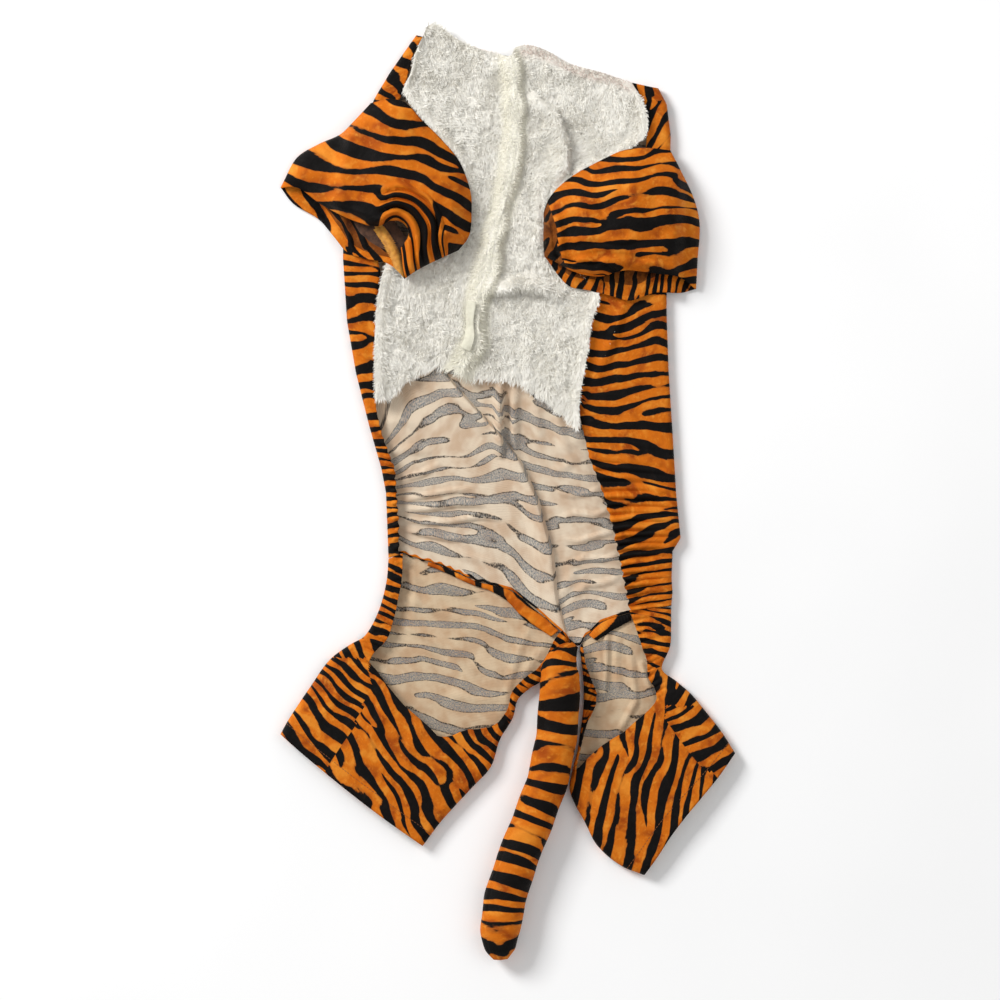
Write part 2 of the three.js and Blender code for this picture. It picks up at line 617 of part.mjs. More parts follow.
// Stuffed tail: rings about its middle line, closed at both ends
function stuffedTail() {
  const around = 16;
  const rings = TAIL.map((row, k) => {
    const before = TAIL[Math.max(0, k - 1)];
    const after = TAIL[Math.min(TAIL.length - 1, k + 1)];
    const along = new THREE.Vector3(after.x - before.x, after.y - before.y, 0).normalize();
    const across = new THREE.Vector3(-along.y, along.x, 0);
    const middle = (row.low + row.high) / 2;
    const ring = [];
    for (let i = 0; i < around; i += 1) {
      const angle = (2 * Math.PI * i) / around;
      const point = new THREE.Vector3(row.x, row.y, 0);
      point.addScaledVector(across, row.half * Math.cos(angle));
      const flat = Math.sign(Math.sin(angle)) * Math.abs(Math.sin(angle)) ** 0.9;
      point.z = middle + ((row.high - row.low) / 2) * flat;
      ring.push(point);
    }
    return ring;
  });
  const positions = [];
  for (const ring of rings) {
    for (const point of ring) {
      positions.push(point.x, point.y, point.z);
    }
  }
  const faces = [];
  for (let k = 0; k + 1 < rings.length; k += 1) {
    for (let i = 0; i < around; i += 1) {
      const j = (i + 1) % around;
      const a = k * around;
      faces.push([a + i, a + j, a + around + j], [a + i, a + around + j, a + around + i]);
    }
  }
  const first = positions.length / 3;
  const root = TAIL[0];
  const tip = TAIL[TAIL.length - 1];
  positions.push(root.x, root.y + 1, (root.low + root.high) / 2);
  positions.push(tip.x, tip.y - 1, (tip.low + tip.high) / 2);
  const end = (rings.length - 1) * around;
  for (let i = 0; i < around; i += 1) {
    const j = (i + 1) % around;
    faces.push([first, j, i], [first + 1, end + i, end + j]);
  }
  return closedGeometry(positions, faces);
}

// A strip of binding beyond the seat edge, between two shares of a leg's top edge
function seatHem(edge, start, end, widths, inwards) {
  const top = curveThrough(edge);
  const rows = 12;
  const grid = [];
  for (let k = 0; k < rows; k += 1) {
    const share = k / (rows - 1);
    const at = between(start, end, share);
    const here = top(at);
    const along = top(Math.min(1, at + 0.02)).sub(top(Math.max(0, at - 0.02))).normalize();
    const away = new THREE.Vector3(along.y, -along.x, 0).multiplyScalar(inwards);
    const width = read(widths, 'share', 'wide', share);
    const line = [];
    for (const part of [0, 0.5, 1]) {
      const point = here.clone().addScaledVector(away, HEM_CLEAR + width * part);
      point.z = CLOTH + SEAM + HEM_THICK / 2 + 1.2 * Math.sin(Math.PI * part);
      line.push(point);
    }
    grid.push(line);
  }
  return wall(grid, HEM_THICK);
}

// Closure tape standing on the placket's ridge
function closureTape({ at }) {
  const rows = 5;
  const grid = [];
  for (let k = 0; k < rows; k += 1) {
    const down = between(TAPE.start, TAPE.end, k / (rows - 1));
    grid.push([TAPE.near, (TAPE.near + TAPE.far) / 2, TAPE.far].map((reach) => {
      const across = at(reach + 1, down).sub(at(reach - 1, down));
      const along = at(reach, down + 0.01).sub(at(reach, down - 0.01));
      const normal = across.cross(along).normalize();
      const out = (FUR / 2 + SEAM + TAPE.thick / 2 + 0.3) * Math.sign(normal.z);
      return at(reach, down).addScaledVector(normal, out);
    }));
  }
  return wall(grid, TAPE.thick);
}

function main() {
  const neck = curveThrough(NECK_EDGE);
  const hem = curveThrough(HEM_EDGE);
  const tiger = (geometry) => [geometry, COLOURS.tiger, 0.75];
  const fur = (geometry) => [geometry, COLOURS.fur, 0.95];
  const leftHalf = bellySurface(
    FUR_LEFT, stretchOf(neck, 0, NECK_SPLIT), stretchOf(hem, 0, HEM_SPLIT), -SEAM / 2, true,
  );
  const rightHalf = bellySurface(
    FUR_RIGHT, stretchOf(neck, NECK_SPLIT, 1), stretchOf(hem, HEM_SPLIT, 1), SEAM / 2, false,
  );
  const pieces = {
    back_body: tiger(backBody()),
    belly_left: fur(bellyHalf(leftHalf, true)),
    belly_right: fur(bellyHalf(rightHalf, false)),
    closure_tape: [closureTape(leftHalf), COLOURS.tape, 0.8],
    sleeve_left: tiger(sleeve(SLEEVE_LEFT)),
    sleeve_right: tiger(sleeve(SLEEVE_RIGHT)),
    leg_left: tiger(hindLeg(LEG_LEFT, LIPS_LEFT, 0.69, { leftArm: 4, rightArm: 3, turn: 3 })),
    leg_right: tiger(hindLeg(LEG_RIGHT, LIPS_RIGHT, 0.5, { leftArm: 4, rightArm: 4, turn: 3 })),
    seat_hem_left: tiger(seatHem(
      LEG_LEFT.top, 0.2, 0.93,
      [{ share: 0, wide: 3 }, { share: 0.5, wide: 5 }, { share: 0.75, wide: 10 }, { share: 1, wide: 8 }],
      1,
    )),
    seat_hem_right: tiger(seatHem(
      LEG_RIGHT.top, 0.16, 0.62,
      [{ share: 0, wide: 8 }, { share: 0.6, wide: 8 }, { share: 1, wide: 5 }],
      1,
    )),
    tail: tiger(stuffedTail()),
  };
  const box = new THREE.Box3();
  for (const [geometry] of Object.values(pieces)) {
    geometry.computeBoundingBox();
    box.union(geometry.boundingBox);
  }
  const centre = box.getCenter(new THREE.Vector3());
  const group = new THREE.Group();
  for (const [name, [geometry, color, roughness]] of Object.entries(pieces)) {
    geometry.translate(-centre.x, -centre.y, -box.min.z);
    const mesh = new THREE.Mesh(
      geometry,
      new THREE.MeshStandardMaterial({ color, roughness, metalness: 0 }),
    );
    mesh.name = name;
    group.add(mesh);
  }
  return group;
}

const group = main();
export default group;
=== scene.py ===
"""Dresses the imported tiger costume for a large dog: plush cloth, white fur, tail and stitching.

Tables are in millimetres over the floor, as the garment lies with its belly side up and its
head end towards +Y. Meshes and texture coordinates are in metres.
"""
import logging
import math
from dataclasses import dataclass, field
from enum import Enum
from typing import Callable, ClassVar, Optional, Sequence

import bpy
import numpy as np
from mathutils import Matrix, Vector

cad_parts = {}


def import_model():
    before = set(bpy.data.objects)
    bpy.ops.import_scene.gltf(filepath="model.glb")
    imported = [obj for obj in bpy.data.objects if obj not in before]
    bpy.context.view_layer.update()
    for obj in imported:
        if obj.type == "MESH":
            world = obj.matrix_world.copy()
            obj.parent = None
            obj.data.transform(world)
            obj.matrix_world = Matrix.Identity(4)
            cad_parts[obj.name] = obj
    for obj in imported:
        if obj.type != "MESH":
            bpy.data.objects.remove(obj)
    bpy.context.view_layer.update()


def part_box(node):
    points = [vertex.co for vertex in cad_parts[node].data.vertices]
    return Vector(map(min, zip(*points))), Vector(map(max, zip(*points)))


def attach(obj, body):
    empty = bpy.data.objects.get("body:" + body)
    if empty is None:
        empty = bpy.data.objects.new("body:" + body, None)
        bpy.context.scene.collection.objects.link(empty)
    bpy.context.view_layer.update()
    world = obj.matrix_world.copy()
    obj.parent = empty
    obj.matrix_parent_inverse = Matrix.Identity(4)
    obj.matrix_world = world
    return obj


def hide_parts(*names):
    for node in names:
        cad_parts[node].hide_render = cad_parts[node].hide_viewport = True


log = logging.getLogger("tiger_costume")

MM = 0.001
BODY = "root"
CLOTH_UV = "cloth"
ALONG = "along"
# Thickness of the dressed cloth, of the cloth's solids and of the fur slab, in millimetres.
WALL = 1.4
SOLID_WALL = 1.6
FUR = 7.0
# Mid-surface heights of the layer on the floor, of the folded arms and of the leg cuffs.
FLOOR_MID = 0.8
ARM_MID = 10.0
CUFF_MID = 12.0
# Gap between pieces, height of the fur's edge over the arms, and least width of a sheet's cut.
SEAM = 0.4
FUR_EDGE = 3.0
NARROWEST = 10.2
# Pitch at which the print is drawn, in millimetres.
PRINT_PITCH = 20.0
# The first ring of a wall that has none, and the least length that is divided by.
NO_RING = 10**9
TINY = 1e-9

Pair = tuple[float, float]
Table = Sequence[Pair]


class Held(Enum):
    """How a sheet of cloth is held."""

    LAID = "laid"
    FOLDED = "folded"
    GATHERED = "gathered"


class Slot(Enum):
    """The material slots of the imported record."""

    TIGER = "tiger_plush"
    FUR = "white_fur"
    TAPE = "white_tape"


def between(a, b, t):
    """Returns the value at share t of the way from a to b."""
    return a + (b - a) * t


def ease(low: float, high: float, value) -> np.ndarray:
    """Rises smoothly from 0 at low to 1 at high.

    Args:
        low: where the rise starts.
        high: where it ends.
        value: the number or array to place on it.

    Returns:
        The height of the rise, from 0 to 1.
    """
    t = np.clip((value - low) / (high - low), 0.0, 1.0)
    return t * t * (3.0 - 2.0 * t)


def read(table: Table, value) -> np.ndarray:
    """Reads a table of (place, value) pairs with straight runs between its rows.

    Args:
        table: the pairs, in rising or falling order of place.
        value: the place or places to read.

    Returns:
        The value at each place.
    """
    rows = sorted(table)
    return np.interp(value, [row[0] for row in rows], [row[1] for row in rows])


def unit(vectors: np.ndarray) -> np.ndarray:
    """Returns vectors of length 1 that point as the given ones do."""
    return vectors / np.maximum(np.linalg.norm(vectors, axis=-1, keepdims=True), TINY)


def run_of(steps: np.ndarray) -> np.ndarray:
    """Returns how far along a line each of its points lies, from the steps between them."""
    return np.concatenate([[0.0], np.cumsum(steps)])


def grid_faces(rows: int, columns: int) -> np.ndarray:
    """Returns the point numbers of each face of a grid of points."""
    k, i = np.meshgrid(np.arange(rows - 1), np.arange(columns - 1), indexing="ij")
    a = (k * columns + i).ravel()
    return np.stack([a, a + columns, a + columns + 1, a + 1], axis=1)


class Curve:
    """A smooth plan curve through points, read by the share of its length."""

    SAMPLES = 160

    def __init__(self, points: Sequence[Pair]) -> None:
        """Samples the curve.

        Args:
            points: the places that it passes through.
        """
        knots = np.array(points, float)
        ends = np.vstack([2 * knots[0] - knots[1], knots, 2 * knots[-1] - knots[-2]])
        t = np.linspace(0.0, 1.0, self.SAMPLES, endpoint=False)[:, None]
        runs = [self._run(ends[i:i + 4], t) for i in range(len(knots) - 1)]
        self.path = np.vstack([*runs, knots[-1:]])
        steps = np.hypot(*np.diff(self.path, axis=0).T)
        self.share = run_of(steps) / steps.sum()

    @staticmethod
    def _run(four: np.ndarray, t: np.ndarray) -> np.ndarray:
        """Returns the centripetal run between the middle two of four points, at each t."""
        gaps = np.maximum(np.sum(np.diff(four, axis=0) ** 2, axis=1) ** 0.25, 1e-4)
        p0, p1, p2, p3 = four
        d0, d1, d2 = gaps
        leave = ((p1 - p0) / d0 - (p2 - p0) / (d0 + d1) + (p2 - p1) / d1) * d1
        arrive = ((p2 - p1) / d1 - (p3 - p1) / (d1 + d2) + (p3 - p2) / d2) * d1
        return (
            p1 + leave * t + (3 * (p2 - p1) - 2 * leave - arrive) * t**2
            + (2 * (p1 - p2) + leave + arrive) * t**3
        )

    def __call__(self, share) -> np.ndarray:
        """Returns the point at each share of the length, with x and y last."""
        share = np.asarray(share, float)
        return np.stack(
            [np.interp(share, self.share, self.path[:, axis]) for axis in (0, 1)], axis=-1
        )

    def part(self, start: float, end: float) -> Callable[[np.ndarray], np.ndarray]:
        """Returns the stretch between two shares of the length as a curve of its own."""
        return lambda share: self(between(start, end, np.asarray(share, float)))


def patch(top, bottom, left, right, across, down, fade: float = 1.0) -> np.ndarray:
    """Fills the area between four edges.

    Args:
        top: edge that runs across at the start of the rows.
        bottom: edge that runs across at their end.
        left: edge that runs down at the start of each row.
        right: edge that runs down at its end.
        across: share along each row.
        down: share down the rows.
        fade: how fast the bends of top and bottom die out.

    Returns:
        The plan points, with x and y last.
    """
    across, down = np.broadcast_arrays(np.asarray(across, float), np.asarray(down, float))
    a, d = across[..., None], down[..., None]
    upper, lower = (1 - d) ** fade, d**fade
    lean = left(down) * (1 - a) + right(down) * a
    above = top(across) - top(0.0) * (1 - a) - top(1.0) * a
    below = bottom(across) - bottom(0.0) * (1 - a) - bottom(1.0) * a
    return lean + above * upper + below * lower


def waves(x: np.ndarray, y: np.ndarray, seed: int, size: float) -> np.ndarray:
    """Gentle unevenness of lying cloth, as a sum of slanting waves.

    Args:
        x: places across in millimetres.
        y: places along in millimetres.
        seed: picks the directions of the waves.
        size: their middling length in millimetres.

    Returns:
        Heights from about -1 to 1.
    """
    rng = np.random.default_rng(seed)
    total = np.zeros(np.broadcast(x, y).shape)
    for _ in range(8):
        turn, start = rng.uniform(0, math.tau, 2)
        length = size * rng.uniform(0.55, 1.9)
        total += np.sin(math.tau * (x * math.cos(turn) + y * math.sin(turn)) / length + start)
    return total / 4.5


def from_line(line: Table, x: np.ndarray, y: np.ndarray) -> tuple[np.ndarray, ...]:
    """Finds where places lie from a plan line.

    Args:
        line: plan points of the line.
        x: places across in millimetres.
        y: places along in millimetres.

    Returns:
        For each place: its distance, a number below 0 to the right of the line, and the share of
        the line's length at its nearest point.
    """
    knots = np.array(line, float)
    nearest = np.full(x.shape, np.inf)
    side, where = np.zeros(x.shape), np.zeros(x.shape)
    lengths = np.hypot(*np.diff(knots, axis=0).T)
    run = 0.0
    for a, b, length in zip(knots[:-1], knots[1:], lengths):
        ahead = (b - a) / length
        along = np.clip((x - a[0]) * ahead[0] + (y - a[1]) * ahead[1], 0.0, length)
        dx, dy = x - a[0] - ahead[0] * along, y - a[1] - ahead[1] * along
        far = np.hypot(dx, dy)
        closer = far < nearest
        nearest = np.where(closer, far, nearest)
        side = np.where(closer, ahead[0] * dy - ahead[1] * dx, side)
        where = np.where(closer, (run + along) / lengths.sum(), where)
        run += length
    return nearest, side, where


def within(outline: Table, x: np.ndarray, y: np.ndarray) -> np.ndarray:
    """Tells which places lie inside a closed plan outline."""
    crossings = np.zeros(x.shape, int)
    for (x0, y0), (x1, y1) in zip(outline, [*outline[1:], outline[0]]):
        if y0 != y1:
            crossings += ((y0 > y) != (y1 > y)) & (x < x0 + (y - y0) * (x1 - x0) / (y1 - y0))
    return crossings % 2 == 1


@dataclass(frozen=True)
class Crease:
    """A fold that lies in the cloth.

    Args:
        line: plan points that its crest follows.
        high: height of the crest, or depth if negative, in millimetres.
        half: how far it reaches to each side.
        steep: how much sharper its right side drops, from 0 to 1, seen along the line.
    """

    line: Table
    high: float
    half: float
    steep: float = 0.0

    def over(self, x: np.ndarray, y: np.ndarray) -> np.ndarray:
        """Returns how much the crease lifts each place."""
        nearest, side, where = from_line(self.line, x, y)
        reach = np.where(side < 0, self.half * (1 - 0.75 * self.steep), self.half)
        swell = np.clip(4.0 * where * (1.0 - where), 0.0, 1.0) ** 0.6
        return self.high * swell * (1 - ease(0.0, 1.0, nearest / reach))


def folds(creases: Sequence[Crease], x: np.ndarray, y: np.ndarray) -> np.ndarray:
    """Returns the joint lift of several creases at each place."""
    return sum((crease.over(x, y) for crease in creases), np.zeros(x.shape))


class Num:
    """A number socket on which Python's operators add Math nodes."""

    def __init__(self, tree: "Nodes", socket: bpy.types.NodeSocket) -> None:
        """Keeps the socket and the tree that it belongs to."""
        self.tree = tree
        self.socket = socket

    def __add__(self, other) -> "Num":
        """Adds."""
        return self.tree.math("ADD", self, other)

    def __sub__(self, other) -> "Num":
        """Subtracts."""
        return self.tree.math("SUBTRACT", self, other)

    def __rsub__(self, other) -> "Num":
        """Subtracts this from a number."""
        return self.tree.math("SUBTRACT", other, self)

    def __mul__(self, other) -> "Num":
        """Multiplies."""
        return self.tree.math("MULTIPLY", self, other)

    __radd__ = __add__
    __rmul__ = __mul__

    def cos(self) -> "Num":
        """Returns the cosine."""
        return self.tree.math("COSINE", self)

    def turn_with(self, other: "Num") -> "Num":
        """Returns the angle of the arrow whose sides are this and another number."""
        return self.tree.math("ARCTAN2", self, other)

    def rise(self, low: float, high: float) -> "Num":
        """Returns a smooth step from 0 at low to 1 at high."""
        node = self.tree.node(
            "ShaderNodeMapRange", {"interpolation_type": "SMOOTHSTEP"},
            {"Value": self, "From Min": low, "From Max": high},
        )
        return Num(self.tree, node.outputs["Result"])


class Nodes:
    """A node tree under construction."""

    tree: bpy.types.NodeTree

    def node(self, kind: str, settings: Optional[dict] = None, inputs: Optional[dict] = None):
        """Adds a node.

        Args:
            kind: the node's type.
            settings: its properties, set before its sockets are filled.
            inputs: values or links by socket name or number.

        Returns:
            The node.
        """
        node = self.tree.nodes.new(kind)
        for key, value in (settings or {}).items():
            setattr(node, key, value)
        for key, value in (inputs or {}).items():
            self.fill(node.inputs[key], value)
        return node

    def fill(self, socket: bpy.types.NodeSocket, value) -> None:
        """Links a socket to another one, or gives it a value."""
        value = value.socket if isinstance(value, Num) else value
        if isinstance(value, bpy.types.NodeSocket):
            self.tree.links.new(value, socket)
        else:
            socket.default_value = value

    def math(self, operation: str, *values) -> Num:
        """Adds a Math node on one, two or three values and returns its result."""
        node = self.node("ShaderNodeMath", {"operation": operation}, dict(enumerate(values)))
        return Num(self, node.outputs[0])


class Paint(Nodes):
    """A node material under construction."""

    def __init__(self, name: str) -> None:
        """Starts an empty material.

        Args:
            name: the material's name.
        """
        self.material = bpy.data.materials.new(name)
        self.material.use_nodes = True
        self.tree = self.material.node_tree
        self.tree.nodes.clear()

    def place(self) -> bpy.types.NodeSocket:
        """Returns the place on the object."""
        return self.node("ShaderNodeTexCoord").outputs["Object"]

    def cloth(self) -> tuple[Num, Num]:
        """Returns the piece's own cloth coordinates, across and along, in metres."""
        place = self.node("ShaderNodeUVMap", {"uv_map": CLOTH_UV})
        parts = self.node("ShaderNodeSeparateXYZ", inputs={0: place.outputs[0]})
        return Num(self, parts.outputs[0]), Num(self, parts.outputs[1])

    def vector(self, x, y, z) -> bpy.types.NodeSocket:
        """Returns three numbers joined into a vector."""
        return self.node("ShaderNodeCombineXYZ", inputs={0: x, 1: y, 2: z}).outputs[0]

    def noise(self, place, scale: float, detail: float = 0.0, twist: float = 0.0) -> Num:
        """Returns soft noise about 0, at a scale in blobs per metre."""
        node = self.node(
            "ShaderNodeTexNoise",
            inputs={"Vector": place, "Scale": scale, "Detail": detail, "Distortion": twist},
        )
        return Num(self, node.outputs[0]) - 0.5

    def attribute(self, name: str) -> Num:
        """Returns one of the piece's own named numbers."""
        return Num(self, self.node("ShaderNodeAttribute", {"attribute_name": name}).outputs["Fac"])

    def blend(self, share, first, second, how: str = "MIX") -> bpy.types.NodeSocket:
        """Returns a colour that goes from first to second with share."""
        node = self.node("ShaderNodeMix", {"data_type": "RGBA", "blend_type": how})
        sides = {"Factor_Float": share, "A_Color": first, "B_Color": second}
        for socket in node.inputs:
            if socket.identifier in sides:
                self.fill(socket, sides[socket.identifier])
        return next(out for out in node.outputs if out.identifier == "Result_Color")

    def bump(self, height, depth: float, strength: float = 1.0) -> bpy.types.NodeSocket:
        """Returns a normal that follows a height between 0 and 1, depth in metres."""
        node = self.node(
            "ShaderNodeBump", inputs={"Height": height, "Distance": depth, "Strength": strength}
        )
        return node.outputs[0]

    def finish(self, sockets: dict) -> bpy.types.Material:
        """Closes the material with one principled surface.

        Args:
            sockets: values or links of the surface's sockets by name.

        Returns:
            The finished material.
        """
        surface = self.node("ShaderNodeBsdfPrincipled", inputs=sockets)
        self.node("ShaderNodeOutputMaterial", inputs={"Surface": surface.outputs[0]})
        return self.material


def shade(red: int, green: int, blue: int) -> tuple[float, float, float, float]:
    """Returns a screen colour from 0 to 255 as a linear one."""
    def one(level: int) -> float:
        """Returns one channel made linear."""
        part = level / 255.0
        return part / 12.92 if part <= 0.04045 else ((part + 0.055) / 1.055) ** 2.4

    return (one(red), one(green), one(blue), 1.0)


@dataclass(frozen=True)
class Stripes:
    """The slanting strokes that are printed on the cloth.

    Args:
        pitch: distance from stripe to stripe in metres.
        sway: how far stripes wander, in turns.
        wobble: how uneven their edges are.
        forks: places per metre about which stripes part.
        cut: how much of the pitch stays bare.
        breadth: how much their width changes along them.
        fray: how ragged their outline is.
    """

    pitch: float = 0.020
    sway: float = 20.0
    wobble: float = 1.5
    forks: float = 21.0
    cut: float = 0.04
    breadth: float = 4.8
    fray: float = 0.4

    def depth(self, paint: Paint) -> Num:
        """Returns how deep a place lies inside a stripe: above 0 inside, below 0 outside."""
        u, v = paint.cloth()
        slow = paint.noise(paint.vector(u, v * 0.8, 1.7), scale=10.0, detail=1.0) * self.sway
        quick = paint.noise(paint.vector(u * 0.6, v, 4.1), scale=70.0, detail=1.0) * self.wobble
        one = paint.noise(paint.vector(u * 0.36, v, 9.3), self.forks)
        other = paint.noise(paint.vector(u * 0.36, v, 15.9), self.forks)
        wave = (v * (math.tau / self.pitch) + slow + quick + one.turn_with(other)).cos()
        width = paint.noise(paint.vector(u * 0.34, v * 1.3, 23.0), scale=38.0, detail=1.5)
        hair = paint.noise(paint.vector(u * 0.35, v, 31.0), scale=430.0, detail=1.0)
        return wave + hair * self.fray - width * self.breadth - self.cut


@dataclass(frozen=True)
class TigerVelour:
    """Right side of the cloth: short crushed pile, orange with black stripes, with painted sheen:
    glints and shade of the pile in its colour.
    """

    name: str = "tiger_velour"
    stripes: Stripes = Stripes()
    ground: tuple = shade(208, 108, 14)
    # shadow is the painted shade of the crushed pile's patches; light is its painted sheen highlight.
    shadow: tuple = shade(160, 70, 6)
    light: tuple = shade(240, 156, 52)
    halo: tuple = shade(140, 78, 28)
    stroke: tuple = shade(9, 6, 5)

    def material(self) -> bpy.types.Material:
        """Returns the material."""
        paint = Paint(self.name)
        u, v = paint.cloth()
        inside = self.stripes.depth(paint)
        black = inside.rise(-0.02, 0.14)
        fringe = inside.rise(-0.34, 0.0) * 0.4
        crushed = paint.noise(paint.vector(u, v, 51.0), scale=88.0, detail=3.0, twist=0.3)
        glint_and_shade_patches = paint.noise(paint.vector(u, v, 57.0), scale=36.0, detail=2.0, twist=0.4)
        grain = paint.noise(paint.vector(u, v, 63.0), scale=2400.0, detail=1.0)
        pile = paint.noise(paint.vector(u, v, 67.0), scale=240.0, detail=2.0, twist=0.5)
        # Painted sheen: darker painted shade patches, lighter glint patches and lighter crushed and
        # pile highlights over the orange.
        colour = paint.blend(glint_and_shade_patches.rise(0.0, 0.2), self.ground, self.shadow)
        colour = paint.blend((glint_and_shade_patches * -1.0).rise(0.02, 0.2) * 0.5, colour, self.light)
        colour = paint.blend(crushed.rise(0.04, 0.26) * 0.55, colour, self.light)
        colour = paint.blend(pile.rise(0.02, 0.3) * 0.35, colour, self.light)
        colour = paint.blend(fringe, colour, self.halo)
        # Painted sheen highlights on the black stripes where the pile is crushed.
        dark = paint.blend(crushed.rise(0.05, 0.3) * 0.25, self.stroke, shade(38, 24, 17))
        colour = paint.blend(black, colour, dark)
        height = crushed * 0.55 + pile * 0.5 + grain * 0.28 + 0.5
        return paint.finish({
            "Base Color": colour,
            "Roughness": 0.66 - crushed * 0.5,
            "Sheen Weight": 0.04,
            "Sheen Roughness": 0.35,
            "Sheen Tint": shade(255, 214, 168),
            "Specular IOR Level": 0.12,
            "Normal": paint.bump(height, 0.0011),
        })


@dataclass(frozen=True)
class KnitWrongSide:
    """Wrong side of the cloth: peach knit with the print showing through as speckled grey."""

    name: str = "knit_wrong_side"
    stripes: Stripes = Stripes(cut=0.5, fray=0.2)
    ground: tuple = shade(226, 208, 184)
    warm: tuple = shade(204, 176, 148)
    grey: tuple = shade(112, 120, 126)
    dark: tuple = shade(34, 32, 32)

    def material(self) -> bpy.types.Material:
        """Returns the material."""
        paint = Paint(self.name)
        u, v = paint.cloth()
        inside = self.stripes.depth(paint)
        fill = inside.rise(0.0, 0.16)
        edge = inside.rise(-0.2, -0.04) * (1.0 - inside.rise(0.08, 0.26))
        speck = paint.noise(paint.vector(u, v * 0.7, 71.0), scale=880.0, detail=2.0)
        dots = paint.noise(paint.vector(u, v, 74.0), scale=520.0, detail=1.0)
        fleck = paint.noise(paint.vector(u * 0.6, v, 77.0), scale=420.0, detail=1.5)
        mottle = paint.noise(paint.vector(u, v, 83.0), scale=45.0, detail=2.0)
        ribs = (u * (math.tau / 0.0014)).cos() * 0.5 + 0.5
        rows = (v * (math.tau / 0.0017)).cos() * 0.5 + 0.5
        colour = paint.blend(mottle.rise(-0.16, 0.2), self.ground, self.warm)
        colour = paint.blend(fleck.rise(0.08, 0.24) * 0.22, colour, self.warm)
        colour = paint.blend(fill * (speck.rise(-0.16, 0.14) * 0.66 + 0.26), colour, self.grey)
        colour = paint.blend(fill * dots.rise(0.08, 0.2) * 0.36, colour, self.dark)
        colour = paint.blend(edge * (dots.rise(-0.16, 0.06) * 0.62 + 0.3), colour, self.dark)
        height = ribs * rows * 0.45 + mottle * 0.4 + fleck * 0.35 + 0.3
        return paint.finish({
            "Base Color": colour,
            "Roughness": 0.86 - fleck * 0.2,
            "Sheen Weight": 0.12,
            "Sheen Roughness": 0.5,
            "Specular IOR Level": 0.18,
            "Normal": paint.bump(height, 0.0006),
        })


@dataclass(frozen=True)
class FurPile:
    """Strands of the white fur, darker at the root and creamy along the placket."""

    name: str = "fur_pile"
    root: tuple = shade(240, 236, 226)
    tip: tuple = shade(252, 250, 243)
    cream: tuple = shade(248, 245, 230)
    blush: tuple = shade(222, 206, 196)

    def material(self) -> bpy.types.Material:
        """Returns the material."""
        paint = Paint(self.name)
        place = paint.place()
        along = paint.attribute(ALONG)
        drift = paint.noise(place, scale=55.0, detail=2.0)
        colour = paint.blend(along.rise(0.0, 0.8), self.root, self.tip)
        colour = paint.blend(paint.attribute("cream") * 0.8, colour, self.cream)
        colour = paint.blend(drift.rise(0.0, 0.3) * 0.2, colour, self.root)
        colour = paint.blend(paint.attribute("blush") * 0.9, colour, self.blush)
        return paint.finish({
            "Base Color": colour,
            "Roughness": 0.82 + drift * 0.2,
            "Sheen Weight": 0.25,
            "Sheen Roughness": 0.5,
            "Specular IOR Level": 0.2,
        })


@dataclass(frozen=True)
class FurNap:
    """Dense lower pile that shows between the strands, with painted shade in its hollows."""

    name: str = "fur_nap"
    ground: tuple = shade(238, 234, 223)
    painted_hollow_shade: tuple = shade(222, 217, 205)

    def material(self) -> bpy.types.Material:
        """Returns the material."""
        paint = Paint(self.name)
        place = paint.place()
        curls = paint.noise(place, scale=420.0, detail=3.0, twist=1.2)
        tufts = paint.noise(place, scale=150.0, detail=2.0, twist=0.8)
        # Painted shade: darker in the hollows between the curls.
        colour = paint.blend(curls.rise(-0.1, 0.2) * 0.6, self.ground, self.painted_hollow_shade)
        return paint.finish({
            "Base Color": colour,
            "Roughness": 0.85 + tufts * 0.2,
            "Sheen Weight": 0.3,
            "Normal": paint.bump(tufts * 0.6 - curls * 0.7 + 0.5, 0.0016),
        })


@dataclass(frozen=True)
class PlainKnit:
    """A plain pale knit, such as the backing of the fur or the closure tape."""

    name: str
    ground: tuple
    shadow: tuple
    loop: float = 0.0016

    def material(self) -> bpy.types.Material:
        """Returns the material."""
        paint = Paint(self.name)
        u, v = paint.cloth()
        ribs = (u * (math.tau / self.loop)).cos() * 0.5 + 0.5
        rows = (v * (math.tau / (self.loop * 1.2))).cos() * 0.5 + 0.5
        mottle = paint.noise(paint.vector(u, v, 5.0), scale=140.0, detail=3.0)
        fuzz = paint.noise(paint.vector(u, v, 11.0), scale=900.0, detail=2.0)
        colour = paint.blend(mottle.rise(-0.15, 0.25), self.ground, self.shadow)
        return paint.finish({
            "Base Color": colour,
            "Roughness": 0.88 - fuzz * 0.2,
            "Sheen Weight": 0.15,
            "Normal": paint.bump(ribs * rows * 0.6 + fuzz * 0.5 + 0.3, 0.0004),
        })


@dataclass(frozen=True)
class Thread:
    """Sewing thread."""

    name: str = "sewing_thread"
    ground: tuple = shade(112, 60, 18)
    light: tuple = shade(150, 88, 34)

    def material(self) -> bpy.types.Material:
        """Returns the material."""
        paint = Paint(self.name)
        place = paint.place()
        ply = paint.noise(place, scale=2600.0, detail=1.0)
        colour = paint.blend(ply.rise(-0.1, 0.2), self.ground, self.light)
        return paint.finish({"Base Color": colour, "Roughness": 0.55 + ply * 0.2,
                             "Normal": paint.bump(ply + 0.5, 0.0002)})


@dataclass(frozen=True)
class StudioPaper:
    """Pale paper that the costume lies on."""

    name: str = "studio_paper"

    def material(self) -> bpy.types.Material:
        """Returns the material."""
        paint = Paint(self.name)
        place = paint.place()
        tone = paint.noise(place, scale=3.0, detail=2.0)
        colour = paint.blend(tone.rise(-0.2, 0.3), shade(254, 254, 254), shade(250, 250, 250))
        return paint.finish({"Base Color": colour, "Roughness": 0.9})


